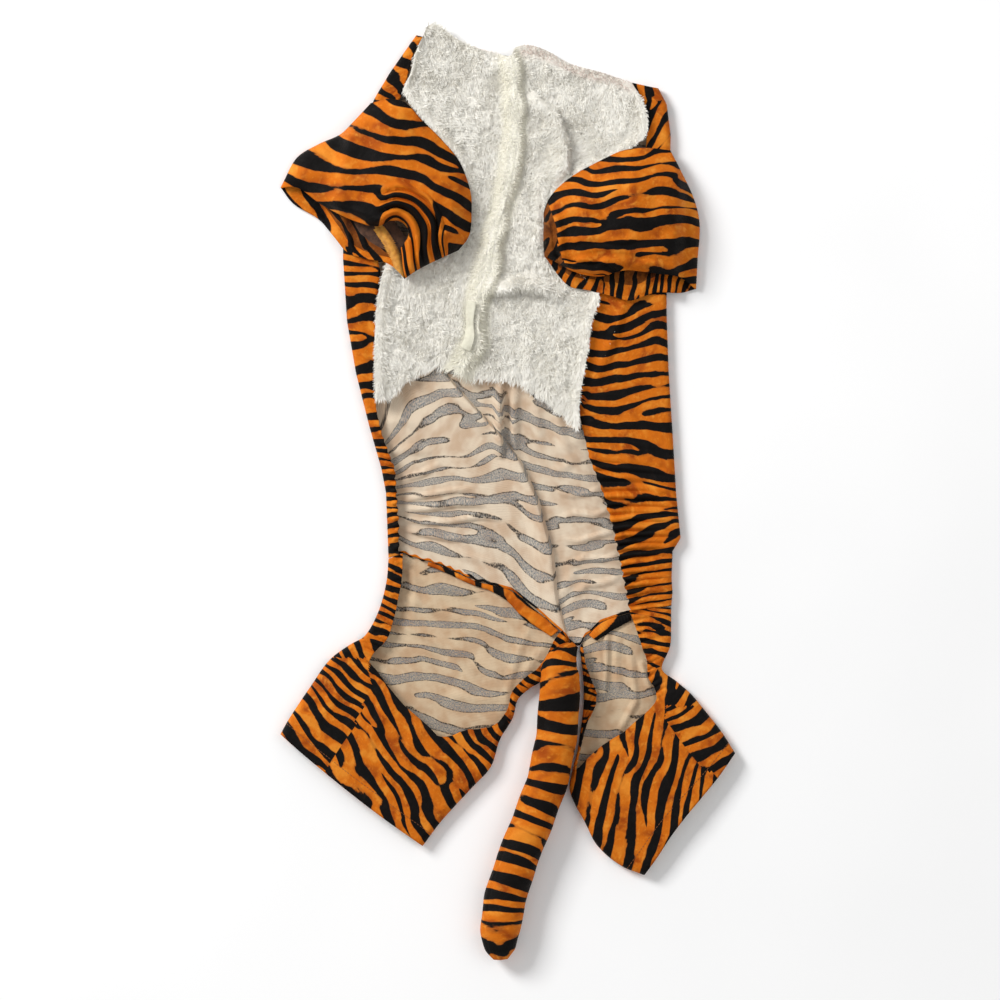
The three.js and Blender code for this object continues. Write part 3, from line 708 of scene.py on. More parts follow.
class Finishes:
    """All the finishes of the costume, each made once."""

    def __init__(self) -> None:
        """Makes the materials."""
        self.tiger = TigerVelour().material()
        self.wrong = KnitWrongSide().material()
        # A darker copy of the wrong side for the legs, as painted shade.
        self.leg_wrong_shaded = KnitWrongSide(
            "knit_wrong_side_leg_painted_shade", ground=shade(214, 190, 158), warm=shade(194, 160, 126)
        ).material()
        # A darker copy of the velour, as painted shade in the sleeves.
        self.shaded = TigerVelour(
            "tiger_velour_shaded", ground=shade(120, 62, 14), shadow=shade(74, 34, 8),
            light=shade(160, 94, 30),
        ).material()
        # A dark plain knit put deep inside the sleeves, as painted shade.
        self.deep = PlainKnit("sleeve_painted_shade", shade(84, 54, 36), shade(50, 30, 20)).material()
        self.fleece = PlainKnit(
            "hem_fleece", shade(222, 158, 62), shade(190, 118, 34), 0.0011
        ).material()
        self.fur = FurPile().material()
        self.nap = FurNap().material()
        self.tape = PlainKnit(
            "closure_tape_knit", shade(224, 221, 202), shade(206, 202, 182), 0.0012
        ).material()
        self.thread = Thread().material()


@dataclass
class Cloth:
    """A wall of cloth on a grid of mid-surface points.

    Args:
        grid: rows of points in millimetres, with x, y and z last.
        maps: ways to lay the grid flat, each a grid of cloth coordinates in millimetres.
        which: the map that each face of the grid uses, or None for the first.
        thick: thickness, one number or one for each point.
        closed_from: the first row that is a ring, whose last point is its first again.
        inside: the finish of each face on the wrong side, or None for the second one throughout.
        outside: the finish of each face on the right side, or None for the first one throughout.
        face_up: row and column of a place whose right side faces up.
        upright: True if the thickness is straight up and down.
    """

    grid: np.ndarray
    maps: list[np.ndarray]
    which: Optional[np.ndarray] = None
    thick: float | np.ndarray = WALL
    closed_from: int = NO_RING
    inside: Optional[np.ndarray] = None
    outside: Optional[np.ndarray] = None
    face_up: tuple[int, int] = (0, 0)
    upright: bool = False

    def normals(self) -> np.ndarray:
        """Returns the unit normal of each point, towards the cloth's right side."""
        grid = self.grid
        across = np.empty_like(grid)
        across[:, 1:-1] = grid[:, 2:] - grid[:, :-2]
        across[:, 0] = grid[:, 1] - grid[:, 0]
        across[:, -1] = grid[:, -1] - grid[:, -2]
        if self.closed_from < len(grid):
            rings = slice(self.closed_from, None)
            round_end = grid[rings, 1] - grid[rings, -2]
            across[rings, 0] = across[rings, -1] = round_end
        down = np.empty_like(grid)
        down[1:-1] = grid[2:] - grid[:-2]
        down[0] = grid[1] - grid[0]
        down[-1] = grid[-1] - grid[-2]
        normal = np.cross(across, down)
        if self.upright:
            normal = np.zeros_like(grid)
            normal[..., 2] = 1.0
        normal = unit(normal)
        return normal * (1.0 if normal[self.face_up][2] > 0 else -1.0)

    def outer(self) -> np.ndarray:
        """Returns the right side's points."""
        return self.grid + self.normals() * (np.asarray(self.thick) / 2)[..., None]

    def flat_size(self) -> tuple[Pair, float]:
        """Returns the cut's width and length, and its area, in metres."""
        steps = np.linalg.norm(np.diff(self.grid, axis=1), axis=-1).sum(axis=1)
        runs = np.linalg.norm(np.diff(self.grid, axis=0), axis=-1).sum(axis=0)
        g = self.grid
        one = np.cross(g[1:, :-1] - g[:-1, :-1], g[1:, 1:] - g[:-1, :-1])
        two = np.cross(g[1:, 1:] - g[:-1, :-1], g[:-1, 1:] - g[:-1, :-1])
        area = (np.linalg.norm(one, axis=-1) + np.linalg.norm(two, axis=-1)).sum() / 2
        width, length = max(steps.max(), NARROWEST) * MM, runs.max() * MM
        return (width, length), float(min(area * MM * MM, width * length))

    def mesh(self, name: str, shift: np.ndarray, materials: Sequence[bpy.types.Material]):
        """Makes the wall as a closed mesh object.

        Args:
            name: the object's name.
            shift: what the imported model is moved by, in millimetres.
            materials: finish of the right side and of the wrong side.

        Returns:
            The object.
        """
        rows, columns = self.grid.shape[:2]
        half = self.normals() * np.asarray(self.thick)[..., None] / 2
        count = rows * columns
        points = np.concatenate([
            (self.grid + half).reshape(-1, 3), (self.grid - half).reshape(-1, 3)
        ]) + shift
        right = grid_faces(rows, columns)
        which = np.zeros(len(right), int) if self.which is None else self.which.ravel()
        inside = 1 if self.inside is None else self.inside.ravel()
        outside = 0 if self.outside is None else self.outside.ravel()
        faces, variants, slots = [right, right[:, ::-1] + count], [which, which], [outside, inside]
        open_rows = np.arange(min(self.closed_from, rows - 1))
        for column, order in ((0, 1), (columns - 1, -1)):
            b = open_rows * columns + column
            rim = np.stack([b, b + count, b + columns + count, b + columns], axis=1)
            faces.append(rim[:, ::order])
            variants.append(which.reshape(rows - 1, -1)[open_rows, min(column, columns - 2)])
            slots.append(0)
        across = np.arange(columns - 1)
        for row, order in ((0, 1), (rows - 1, -1)):
            b = row * columns + across
            rim = np.stack([b, b + 1, b + 1 + count, b + count], axis=1)
            faces.append(rim[:, ::order])
            variants.append(which.reshape(rows - 1, -1)[min(row, rows - 2), across])
            slots.append(0)
        slot = np.concatenate([np.zeros(len(f), int) + s for f, s in zip(faces, slots)])
        face = np.concatenate(faces)
        flat = np.stack([m.reshape(-1, 2) for m in self.maps]) * MM
        uv = flat[np.concatenate(variants)[:, None], face % count]
        if self.closed_from < rows:
            face = self._welded(face, rows, columns)
        p, q, r, s = (points[corner] for corner in face.T)
        volume = sum(np.einsum("ij,ij->i", p, np.cross(*two)).sum() for two in ((q, r), (r, s)))
        if volume < 0:
            face, uv = face[:, ::-1], uv[:, ::-1]
        return make_object(name, points * MM, face, materials, slot, uv)

    def _welded(self, face: np.ndarray, rows: int, columns: int) -> np.ndarray:
        """Joins the last point of each ring to its first."""
        count = rows * columns
        layer, spot = np.divmod(face, count)
        row, column = np.divmod(spot, columns)
        last = (row >= self.closed_from) & (column == columns - 1)
        return layer * count + row * columns + np.where(last, 0, column)


def placed(name: str, data: bpy.types.ID) -> bpy.types.Object:
    """Returns a new object that holds some data, linked to the scene."""
    made = bpy.data.objects.new(name, data)
    bpy.context.scene.collection.objects.link(made)
    return made


def make_object(name: str, points, faces, materials, slots=None, uv=None) -> bpy.types.Object:
    """Makes a smooth mesh object at the origin.

    Args:
        name: the object's name.
        points: its points in metres.
        faces: point numbers of each face.
        materials: its finishes.
        slots: the finish of each face.
        uv: cloth coordinates in metres of each face's corners.

    Returns:
        The object, linked to the scene.
    """
    used, renumbered = np.unique(np.asarray(faces), return_inverse=True)
    faces = renumbered.reshape(np.shape(faces))
    mesh = bpy.data.meshes.new(name)
    mesh.from_pydata(np.asarray(points)[used].tolist(), [], faces.tolist())
    for material in materials:
        mesh.materials.append(material)
    if slots is not None:
        mesh.polygons.foreach_set("material_index", np.asarray(slots, np.int32))
    if uv is not None:
        layer = mesh.uv_layers.new(name=CLOTH_UV)
        layer.data.foreach_set("uv", np.asarray(uv, np.float32).ravel())
    mesh.polygons.foreach_set("use_smooth", np.ones(len(mesh.polygons), bool))
    mesh.validate()
    mesh.update()
    return placed(name, mesh)


def turned(plan: np.ndarray, degrees: float, pitch: float, start: Pair) -> np.ndarray:
    """Turns and scales cloth coordinates.

    Args:
        plan: coordinates in millimetres, with x and y last.
        degrees: direction that the stripes take, anticlockwise from +X.
        pitch: distance from stripe to stripe that is wanted, in millimetres.
        start: a shift, so that pieces don't repeat each other's print.

    Returns:
        The new coordinates.
    """
    c, s = math.cos(math.radians(degrees)), math.sin(math.radians(degrees))
    x, y = plan[..., 0] * (PRINT_PITCH / pitch), plan[..., 1] * (PRINT_PITCH / pitch)
    return np.stack([x * c + y * s + start[0], y * c - x * s + start[1]], axis=-1)


@dataclass
class Tube:
    """Rows of a flat tube, or of a C whose two arms lie over its bottom.

    Args:
        left_arm: columns of the left arm.
        right_arm: columns of the right arm.
        turn: steps of each turn at the sides.
        bottom: columns of the bottom.
    """

    left_arm: int
    right_arm: int
    turn: int
    bottom: int
    # Distances beyond a fold at which its columns lie close together, in millimetres.
    CLOSE: ClassVar[np.ndarray] = np.array([0.8, 1.6, 2.4, 3.3, 4.4, 6.0])

    def rows(self, width, left, right, top, fold=None) -> dict[str, np.ndarray]:
        """Lays out the rows.

        Args:
            width: width of each row in millimetres.
            left: reach of the left arm in each row.
            right: reach of the right arm in each row.
            top: mid-surface height of the upper layer in each row.
            fold: share of the width at which columns gather along a fold, or None.

        Returns:
            For each row and column: across, the share of the width; z, the height; lip, from 0
            at a fold to 1 at an arm's edge; spread, the distance along the cloth; bottom and
            upper, whether it lies there. And for each column: layer, 0 bottom, 1 turn and 2 top.
        """
        width, left, right, top = (
            np.asarray(v, float)[:, None] for v in (width, left, right, top)
        )
        radius, middle = (top - FLOOR_MID) / 2, (top + FLOOR_MID) / 2
        left, right = np.maximum(left, radius + 1.5), np.maximum(right, radius + 1.5)
        arm_l = np.linspace(0, 1, self.left_arm, endpoint=False)[None]
        arm_r = np.linspace(0, 1, self.right_arm + 1)[None, 1:]
        angle = np.linspace(0, math.pi, self.turn + 1)[None]
        share = np.linspace(0, 1, self.bottom + 2)[None, 1:-1]
        ones = np.ones_like(width)
        if fold is not None:
            crest = (fold - radius / width) / (1 - 2 * radius / width)
            drop = crest + self.CLOSE / width
            before = self.bottom // 2
            rest = np.linspace(0, 1, self.bottom - before - len(self.CLOSE) + 2)[None, 1:-1]
            lead = np.linspace(0, 1, before + 1)[None, 1:]
            share = np.hstack([crest * lead, drop, between(drop[:, -1:], 1, rest)])
        reach_l, reach_r = between(left, radius, arm_l), between(radius, right, arm_r)
        turn_in = radius * (1 - np.sin(angle))
        turn_z = middle + radius * np.cos(angle)
        flat = between(radius / width, 1 - radius / width, share)
        across = np.hstack([
            reach_l / width, turn_in / width, flat,
            1 - turn_in[:, ::-1] / width, 1 - reach_r / width,
        ])
        z = np.hstack([
            top * np.ones_like(arm_l), turn_z, FLOOR_MID * ones * np.ones_like(share),
            turn_z[:, ::-1], top * np.ones_like(arm_r),
        ])
        lip = np.hstack([
            ones * (1 - arm_l), 0 * turn_in, 0 * flat, 0 * turn_in, ones * arm_r
        ])
        round_l = radius * (math.pi - angle)
        spread = np.hstack([
            radius - math.pi * radius - (reach_l - radius), radius - round_l, flat * width,
            width - radius + round_l[:, ::-1], width - radius + math.pi * radius + reach_r - radius,
        ])
        layer = np.array(
            [2] * self.left_arm + [1] * (self.turn + 1) + [0] * self.bottom
            + [1] * (self.turn + 1) + [2] * self.right_arm
        )
        lies = np.broadcast_to(layer, z.shape)
        return {"across": across, "z": z, "lip": lip, "spread": spread, "layer": layer,
                "bottom": lies == 0, "upper": lies == 2}


LEFT_FOLD: Table = (
    (457, -91), (420, -117), (395, -132), (362, -147), (322, -158), (277, -163), (235, -164),
    (220, -163), (172, -160), (120, -151), (68, -138), (24, -125.5), (0, -121), (-38, -119.5),
    (-66, -118.5),
)
RIGHT_FOLD: Table = (
    (404, 150), (389, 158), (359, 162), (312, 161.5), (232, 158), (180, 158), (122, 160),
    (60, 164), (0, 167.5), (-45, 172), (-58, 164), (-85, 163), (-100, 164), (-114, 162.5),
)


@dataclass
class BackPanel:
    """Back of the body: one sheet whose sides fold over into two elastic-edged arms."""

    tube: Tube = field(default_factory=lambda: Tube(left_arm=9, right_arm=22, turn=8, bottom=150))
    # Where the left and the right fold start and end, as y, and how the seat dips and laps.
    top: Pair = (457.0, 404.0)
    end: Pair = (-65.0, -113.4)
    dip_start: float = 200.0
    seat_lap: float = 2.0
    seat_lift: float = 2.4
    seat_point: float = 66.5
    # Plan lines of the elastic edges, as x by y, and of the seat's edge, as y by x.
    left_elastic: Table = (
        (457, -85), (439, -95), (419, -100), (399, -107), (368, -127), (326, -137), (280, -139),
        (226, -127), (192, -130), (120, -134), (82, -131), (57, -125), (24, -113), (-8, -111),
        (-33, -109), (-66, -109),
    )
    right_elastic: Table = (
        (404, 124), (387, 136), (359, 139), (342, 138), (312, 136), (272, 130), (230, 104),
        (195, 89), (162, 83), (127, 78), (97, 72), (65, 72), (30, 81), (0, 94), (-33, 105),
        (-73, 114), (-114, 122),
    )
    seat_edge: Table = (
        (-118.5, -65.5), (-106, -61), (-95.5, -62), (-67.5, -70), (-29.5, -86), (4.5, -95),
        (26.5, -112), (52.5, -135), (60.5, -148), (66.5, -153), (72.5, -153), (77.5, -142),
        (92.5, -127), (118.5, -118), (142.5, -115), (162.5, -114),
    )
    # The long fold down the panel: its x and its height by y, and how its sides slope.
    fold_line: Table = (
        (460, -90), (135, -75), (122, -67), (88, -38), (67, -18), (32, 10), (-5, 27), (-58, 42),
        (-103, 46), (-123, 52), (-150, 60),
    )
    fold_high: Table = (
        (460, 0), (135, 0), (122, 3), (88, 7), (67, 8), (32, 9), (-5, 9), (-58, 8), (-103, 6),
        (-123, 3), (-150, 1),
    )
    fold_gentle: float = 24.0
    fold_steep: float = 4.4
    # Depth of the gathers along each elastic edge, by y.
    left_gather: Table = ((460, 0), (150, 0.1), (90, 0.5), (36, 2.4), (-66, 2.8))
    right_gather: Table = ((404, 0), (150, 0.2), (70, 1.0), (0, 2.6), (-50, 3.4), (-114, 3.4))
    # The print: its pitch, and for each shoulder where it starts, how it turns and its pitch.
    pitch: float = 16.0
    arm_pitch: float = 15.0
    shoulder_left: tuple[float, float, float] = (386.0, 24.0, 9.0)
    shoulder_right: tuple[float, float, float] = (344.0, -52.0, 14.0)
    # The print on the right arm: the slope of its stripes by y, and how it is drawn together.
    strip_middle: float = 125.0
    strip_tilt: Table = (
        (404, 0.0), (210, 0.22), (120, 0.3), (80, 0.16), (46, -0.2), (14, -0.38), (-10, -0.2),
        (-40, 0.2), (-64, 0.1), (-114, 0.0),
    )
    strip_drawn_in: Table = ((404, 404), (60, 60), (-46, -28), (-66, -50), (-114, -125))
    strip_kink: float = -0.5
    # Pitch of the gathers, rows of the grid before and after a place, and reach of the seat's hem.
    gather_pitch: float = 7.5
    close_rows_from: float = 76.0
    row_counts: tuple[int, int] = (118, 112)
    elastic_edge: float = 24.0
    # Where the wrong side's stripes fan out, how the arms' print is drawn in, and that side's sag.
    gathers: Pair = (-190.0, -10.0)
    drawn_in: Table = ((457, 457), (60, 60), (10, 2), (-66, -112), (-114, -178))
    sag: Table = ((150, 0), (120, -0.2), (60, -0.38), (0, -0.3), (-50, -0.05), (-110, 0.2))
    binding_rows: int = 2
    creases: Sequence[Crease] = (
        Crease(((-5, 34), (-7, 54), (-7, 90), (-6, 124)), 8.6, 9.0, 0.97),
        Crease(((7, 124), (5, 90), (5, 54), (7, 34)), 5.2, 7.0, 0.95),
        Crease(((26, 100), (30, 72), (32, 48)), 2.0, 7.0),
        Crease(((46, 92), (52, 60), (64, 30)), 1.8, 8.0, 0.3),
        Crease(((-104, -8), (-84, -3), (-58, 2), (-34, 4)), 2.8, 5.0, 0.4),
        Crease(((-104, -17), (-80, -16), (-52, -11), (-22, -12)), 3.2, 5.5, 0.5),
        Crease(((-104, -26), (-82, -30), (-58, -29), (-30, -24), (-6, -26)), 3.0, 5.0, 0.4),
        Crease(((-104, -36), (-86, -41), (-60, -46), (-34, -46)), 3.0, 5.5, 0.5),
        Crease(((-104, -48), (-78, -52), (-44, -62), (-14, -70)), 2.2, 6.0),
        Crease(((-108, 12), (-88, 18), (-66, 30)), 2.4, 6.0, 0.3),
        Crease(((-116, 40), (-98, 44), (-76, 40)), 2.0, 7.0),
        Crease(((-122, 70), (-104, 74), (-84, 66)), 1.8, 8.0),
        Crease(((94, 6), (80, 0), (64, -2), (50, 2)), 2.4, 5.0, 0.3),
        Crease(((102, -16), (86, -22), (66, -20), (50, -26)), 2.8, 5.5, 0.4),
        Crease(((106, -38), (90, -42), (70, -48), (54, -46)), 2.6, 5.0, 0.3),
        Crease(((110, -62), (94, -66), (76, -64), (58, -74)), 2.8, 5.5, 0.4),
        Crease(((112, -84), (96, -90), (78, -92), (64, -104)), 2.2, 5.5),
        Crease(((80, 62), (64, 50), (48, 44)), 1.8, 7.0),
        Crease(((74, 40), (58, 26), (42, 20)), 1.6, 6.0),
        Crease(((-60, 100), (-36, 84), (-22, 60)), 1.4, 12.0),
        Crease(((-90, 90), (-60, 60), (-30, 20), (-8, -20)), 1.2, 16.0),
        Crease(((40, -112), (56, -98), (70, -70)), 1.6, 8.0),
    )
    arm_creases: Sequence[Crease] = (
        Crease(((116, 200), (109.5, 172), (100.5, 147), (92.5, 127), (84, 108)), 6.0, 8.0, 0.92),
        Crease(((150, 200), (146, 150), (150, 96)), 1.4, 9.0),
        Crease(((126, 90), (118, 50), (124, 8)), 1.4, 9.0),
        Crease(((94, 4), (116, -4), (146, -2), (164, 4)), 3.4, 6.5, 0.5),
        Crease(((98, -12), (122, -22), (152, -20)), 3.0, 6.0, 0.5),
        Crease(((104, -28), (128, -34), (166, -40)), 3.6, 7.0, 0.5),
        Crease(((108, -46), (130, -53), (152, -50)), 2.6, 5.5, 0.5),
        Crease(((110, -62), (134, -72), (162, -72)), 3.4, 6.5, 0.5),
        Crease(((114, -82), (134, -88), (158, -96)), 3.0, 6.0, 0.5),
        Crease(((118, -98), (140, -102), (160, -110)), 2.6, 5.5, 0.4),
        Crease(((-150, 200), (-146, 160), (-144, 120)), 1.2, 7.0),
    )

    def plan(self, across: np.ndarray, left_y: np.ndarray) -> np.ndarray:
        """Returns the plan points of rows that start at left_y, with x and y last."""
        share = (self.top[0] - left_y) / (self.top[0] - self.end[0])
        right_y = between(self.top[1], self.end[1], share)
        x = between(read(LEFT_FOLD, left_y), read(RIGHT_FOLD, right_y), across)
        fall = between(self.end[0], self.end[1], across) - read(self.seat_edge, x) - 0.9
        dipping = 1 - ease(self.end[0], self.dip_start, left_y)
        return np.stack([x, between(left_y, right_y, across) - fall * dipping**2], axis=-1)

    def sheet(self) -> Cloth:
        """Returns the panel's wall."""
        left_y = np.concatenate([
            np.linspace(self.top[0], self.close_rows_from, self.row_counts[0], endpoint=False),
            np.linspace(self.close_rows_from, self.end[0], self.row_counts[1]),
        ])
        column = left_y[:, None]
        right_y = between(
            self.top[1], self.end[1], (self.top[0] - left_y) / (self.top[0] - self.end[0])
        )
        x0, x1 = read(LEFT_FOLD, left_y), read(RIGHT_FOLD, right_y)
        width = (x1 - x0)[:, None]
        fold = np.full_like(column, 0.5)
        for _ in range(8):
            place = self.plan(fold, column)[..., 1]
            fold = np.clip((read(self.fold_line, place) - x0[:, None]) / width, 0.1, 0.8)
        rows = self.tube.rows(
            x1 - x0, read(self.left_elastic, left_y) - x0, x1 - read(self.right_elastic, right_y),
            np.full_like(left_y, ARM_MID), fold,
        )
        across, z = rows["across"], rows["z"].copy()
        plan = self.plan(across, column)
        x, y = plan[..., 0], plan[..., 1]
        bottom, upper = rows["bottom"], rows["upper"]
        high = read(self.fold_high, self.plan(fold, column)[..., 1])
        side = (across - fold) * width
        rise = np.where(
            side < 0, ease(-self.fold_gentle, 0, side), 1 - ease(0, self.fold_steep, side)
        )
        last = 1 - ease(self.end[0], self.end[0] + self.elastic_edge, column)
        from_left, from_right = x - x0[:, None], x1[:, None] - x
        inside = ease(6, 13, from_left) * ease(6, 13, from_right)
        under_arm = ease(2, 12, from_left) * ease(2, 12, from_right)
        lying = 1.25 * folds(self.creases, x, y) * under_arm * (1 - last)
        lying += 0.55 * (1 + waves(x, y, 3, 46)) * under_arm * (1 - last)
        z += np.where(bottom, high * rise + self.seat_lift * inside * last + lying, 0)
        lapped = ease(14, 24, from_left) * ease(14, 24, from_right)
        reach = (self.seat_lap + 0.9) * last * lapped * ease(8, 16, np.abs(x - self.seat_point))
        scallop = 1.3 * np.sin(x * math.tau / 11 + np.sin(x / 9))
        scallop = scallop * ease(-108, -96, x) * (1 - ease(-30, -4, x))
        y = np.where(bottom, y - reach - scallop * last**3, y)
        deep = np.where(across < 0.5, read(self.left_gather, y), read(self.right_gather, y))
        lip = rows["lip"]
        uneven = 2.2 * np.sin(column / 23) + 0.8 * np.sin(column / 6.1)
        ruffle = np.sin(math.tau * column / self.gather_pitch + uneven)
        z += np.where(upper, deep * lip**0.6 * (0.9 * ruffle + 0.3), 0)
        soft = folds(self.arm_creases, x, y) + 0.4 * waves(x, y, 8, 38)
        z += np.where(upper, soft * ease(0.0, 0.25, lip) * ease(0, 0.3, 1 - lip), 0)
        x = np.where(upper, x + deep * lip**3 * 0.3 * np.cos(math.tau * column / 9.2), x)
        grid = np.stack([x, y, z], axis=-1)
        laid = np.stack([x0[:, None] + rows["spread"], read(self.drawn_in, y)], axis=-1)
        maps = [
            turned(laid, 7, self.arm_pitch, (31, 7)),
            turned(self.fanned(x, y + 0.8 * z), 0, self.pitch, (31, 7)),
            turned(self.sagging(x, y + 0.8 * z), 0, self.pitch, (31, 7)),
            turned(laid, self.shoulder_left[1], self.shoulder_left[2], (118, 71)),
            turned(laid, self.shoulder_right[1], self.shoulder_right[2], (150, 35)),
            turned(self.tilted(laid, x, y), 0, self.arm_pitch, (31, 7)),
        ]
        left_of = np.where(side < self.fold_steep - 0.2, 1, 2)
        on_left = across < 0.5
        shoulder = np.where(on_left & (y > self.shoulder_left[0]), 3, 0)
        shoulder = np.where(~on_left, np.where(y > self.shoulder_right[0], 4, 5), shoulder)
        which = np.where(rows["layer"][None] == 0, left_of, shoulder)[:-1, :-1]
        inside = np.ones_like(which)
        inside[-self.binding_rows:, :] = 0
        return Cloth(grid, maps, which, inside=inside, face_up=(120, 1))

    def tilted(self, laid: np.ndarray, x: np.ndarray, y: np.ndarray) -> np.ndarray:
        """Returns print coordinates of the right arm, which climb, fall and kink at its fold."""
        far, side, _ = from_line(self.arm_creases[0].line, x, y)
        kink = np.where(side < 0, far, 0.0) * self.strip_kink * ease(60, 110, y)
        tilt = read(self.strip_tilt, y) * (x - self.strip_middle)
        return np.stack([laid[..., 0], read(self.strip_drawn_in, y) - tilt + kink], axis=-1)

    def fanned(self, x: np.ndarray, y: np.ndarray) -> np.ndarray:
        """Returns print coordinates whose stripes fan out of the gathers at the left."""
        angle = np.arctan2(y - self.gathers[1], x - self.gathers[0])
        pulled = 1 - ease(50, 145, y)
        return np.stack([x, y + pulled * (150 * angle + self.gathers[1] - y)], axis=-1)

    def sagging(self, x: np.ndarray, y: np.ndarray) -> np.ndarray:
        """Returns print coordinates whose stripes sag towards the right."""
        return np.stack([x, y - read(self.sag, y) * (x - 60)], axis=-1)


@dataclass
class HindLeg:
    """A hind leg: open at the rump with narrow elastic arms, and a whole tube at the cuff."""

    outer: Table
    inner: Table
    top: Table
    hem: Table
    # Share down the leg, and the shares of its width at which the two arms end.
    lips: Sequence[tuple[float, float, float]]
    meet: float
    cuff_seam: Table
    front_turn: float
    side_turn: float
    seam_on_left: bool
    # The wrong side's stripes: their middle, bend and slope. The strip at the rump: its end and turn.
    sag: tuple[float, float, float]
    strip: tuple[float, float]
    creases: Sequence[Crease]
    front_creases: Sequence[Crease]
    row_counts: tuple[int, int] = (78, 46)
    width_steps: int = 21
    ruffles: int = 27
    pitches: tuple[float, float, float, float] = (17.5, 15.0, 14.0, 9.5)
    tube: Tube = field(default_factory=lambda: Tube(left_arm=34, right_arm=26, turn=6, bottom=54))

    def sheet(self) -> Cloth:
        """Returns the leg's wall."""
        close = self.lips[-1][0]
        downs = np.concatenate([
            np.linspace(0, close, self.row_counts[0], endpoint=False),
            np.linspace(close, 1, self.row_counts[1]),
        ])
        edges = [Curve(points) for points in (self.top, self.hem, self.outer, self.inner)]
        steps = np.linspace(0, 1, self.width_steps)
        spine = patch(*edges, steps[None], downs[:, None])
        width = np.linalg.norm(np.diff(spine, axis=1), axis=-1).sum(axis=1)
        shut = downs >= close
        outer_lip = np.where(shut, self.meet, read([(r[0], r[1]) for r in self.lips], downs))
        inner_lip = np.where(shut, self.meet, read([(r[0], r[2]) for r in self.lips], downs))
        top = between(ARM_MID, CUFF_MID, ease(0.3, close, downs))
        rows = self.tube.rows(width, outer_lip * width, (1 - inner_lip) * width, top)
        across, z = rows["across"].copy(), rows["z"].copy()
        across[shut, 0] = across[shut, -1] = self.meet
        column = downs[:, None]
        plan = patch(*edges, across, column)
        x, y = plan[..., 0], plan[..., 1]
        opening = 1 - ease(close - 0.12, close, column)
        bottom, upper = rows["bottom"], rows["upper"]
        ruffle = np.cos(math.tau * self.ruffles * column + 2.0 * np.sin(13 * column))
        z += np.where(upper, 1.5 * rows["lip"] * opening * ruffle, 0)
        z += np.where(upper, 3 * (1 - opening) * np.sin(math.pi * across), 0)
        edge = ease(0, 0.05, across) * ease(0, 0.05, 1 - across)
        raised = folds(self.front_creases, x, y) + 0.5 * waves(x, y, 21, 34)
        z += np.where(upper, raised * edge * (1 - opening * 0.7), 0)
        z += np.where(upper, folds([Crease(self.cuff_seam, -1.3, 2.6)], x, y) * (1 - opening), 0)
        lying = folds(self.creases, x, y) + 0.5 * (1 + waves(x, y, 5, 40))
        z += np.where(bottom, lying * edge * ease(0.0, 0.06, column) * ease(1.0, 0.9, column), 0)
        grid = np.stack([x, y, z], axis=-1)
        plan = np.stack([x, y], axis=-1)
        middle, bend, slope = self.sag
        hung = np.stack([x, y - bend * (x - middle) ** 2 - slope * (x - middle)], axis=-1)
        back, front, beyond, strip = self.pitches
        maps = [
            turned(hung, 0, back, (12, 40)),
            turned(plan, self.front_turn, front, (70, 15)),
            turned(plan, self.side_turn, beyond, (140, 60)),
            turned(plan, self.strip[1], strip, (180, 20)),
        ]
        which = self._which(rows["layer"], x, y)
        which = np.where((which > 0) & (column[:-1] < self.strip[0]), 3, which)
        return Cloth(grid, maps, which, closed_from=int(np.argmax(shut)),
                     face_up=(len(downs) - 4, 6))

    def _which(self, layer: np.ndarray, x: np.ndarray, y: np.ndarray) -> np.ndarray:
        """Picks the print's direction for each face: the back, the front or beyond the seam."""
        count = len(layer)
        middle = count - self.tube.right_arm - (self.tube.turn + 1)
        half_turn = self.tube.turn // 2
        start = self.tube.left_arm + half_turn
        end = middle + half_turn
        face = np.arange(count - 1)
        which = np.where((face < start) | (face >= end), 1, 0)[None] * np.ones((len(x) - 1, 1), int)
        seam = np.array(self.cuff_seam, float)
        order = np.argsort(seam[:, 1])
        line = np.interp(y, seam[order, 1], seam[order, 0])[:-1, :-1]
        beyond = (x[:-1, :-1] < line) == self.seam_on_left
        near = y[:-1, :-1] < seam[:, 1].max() + 12
        return np.where((which == 1) & beyond & near, 2, which)


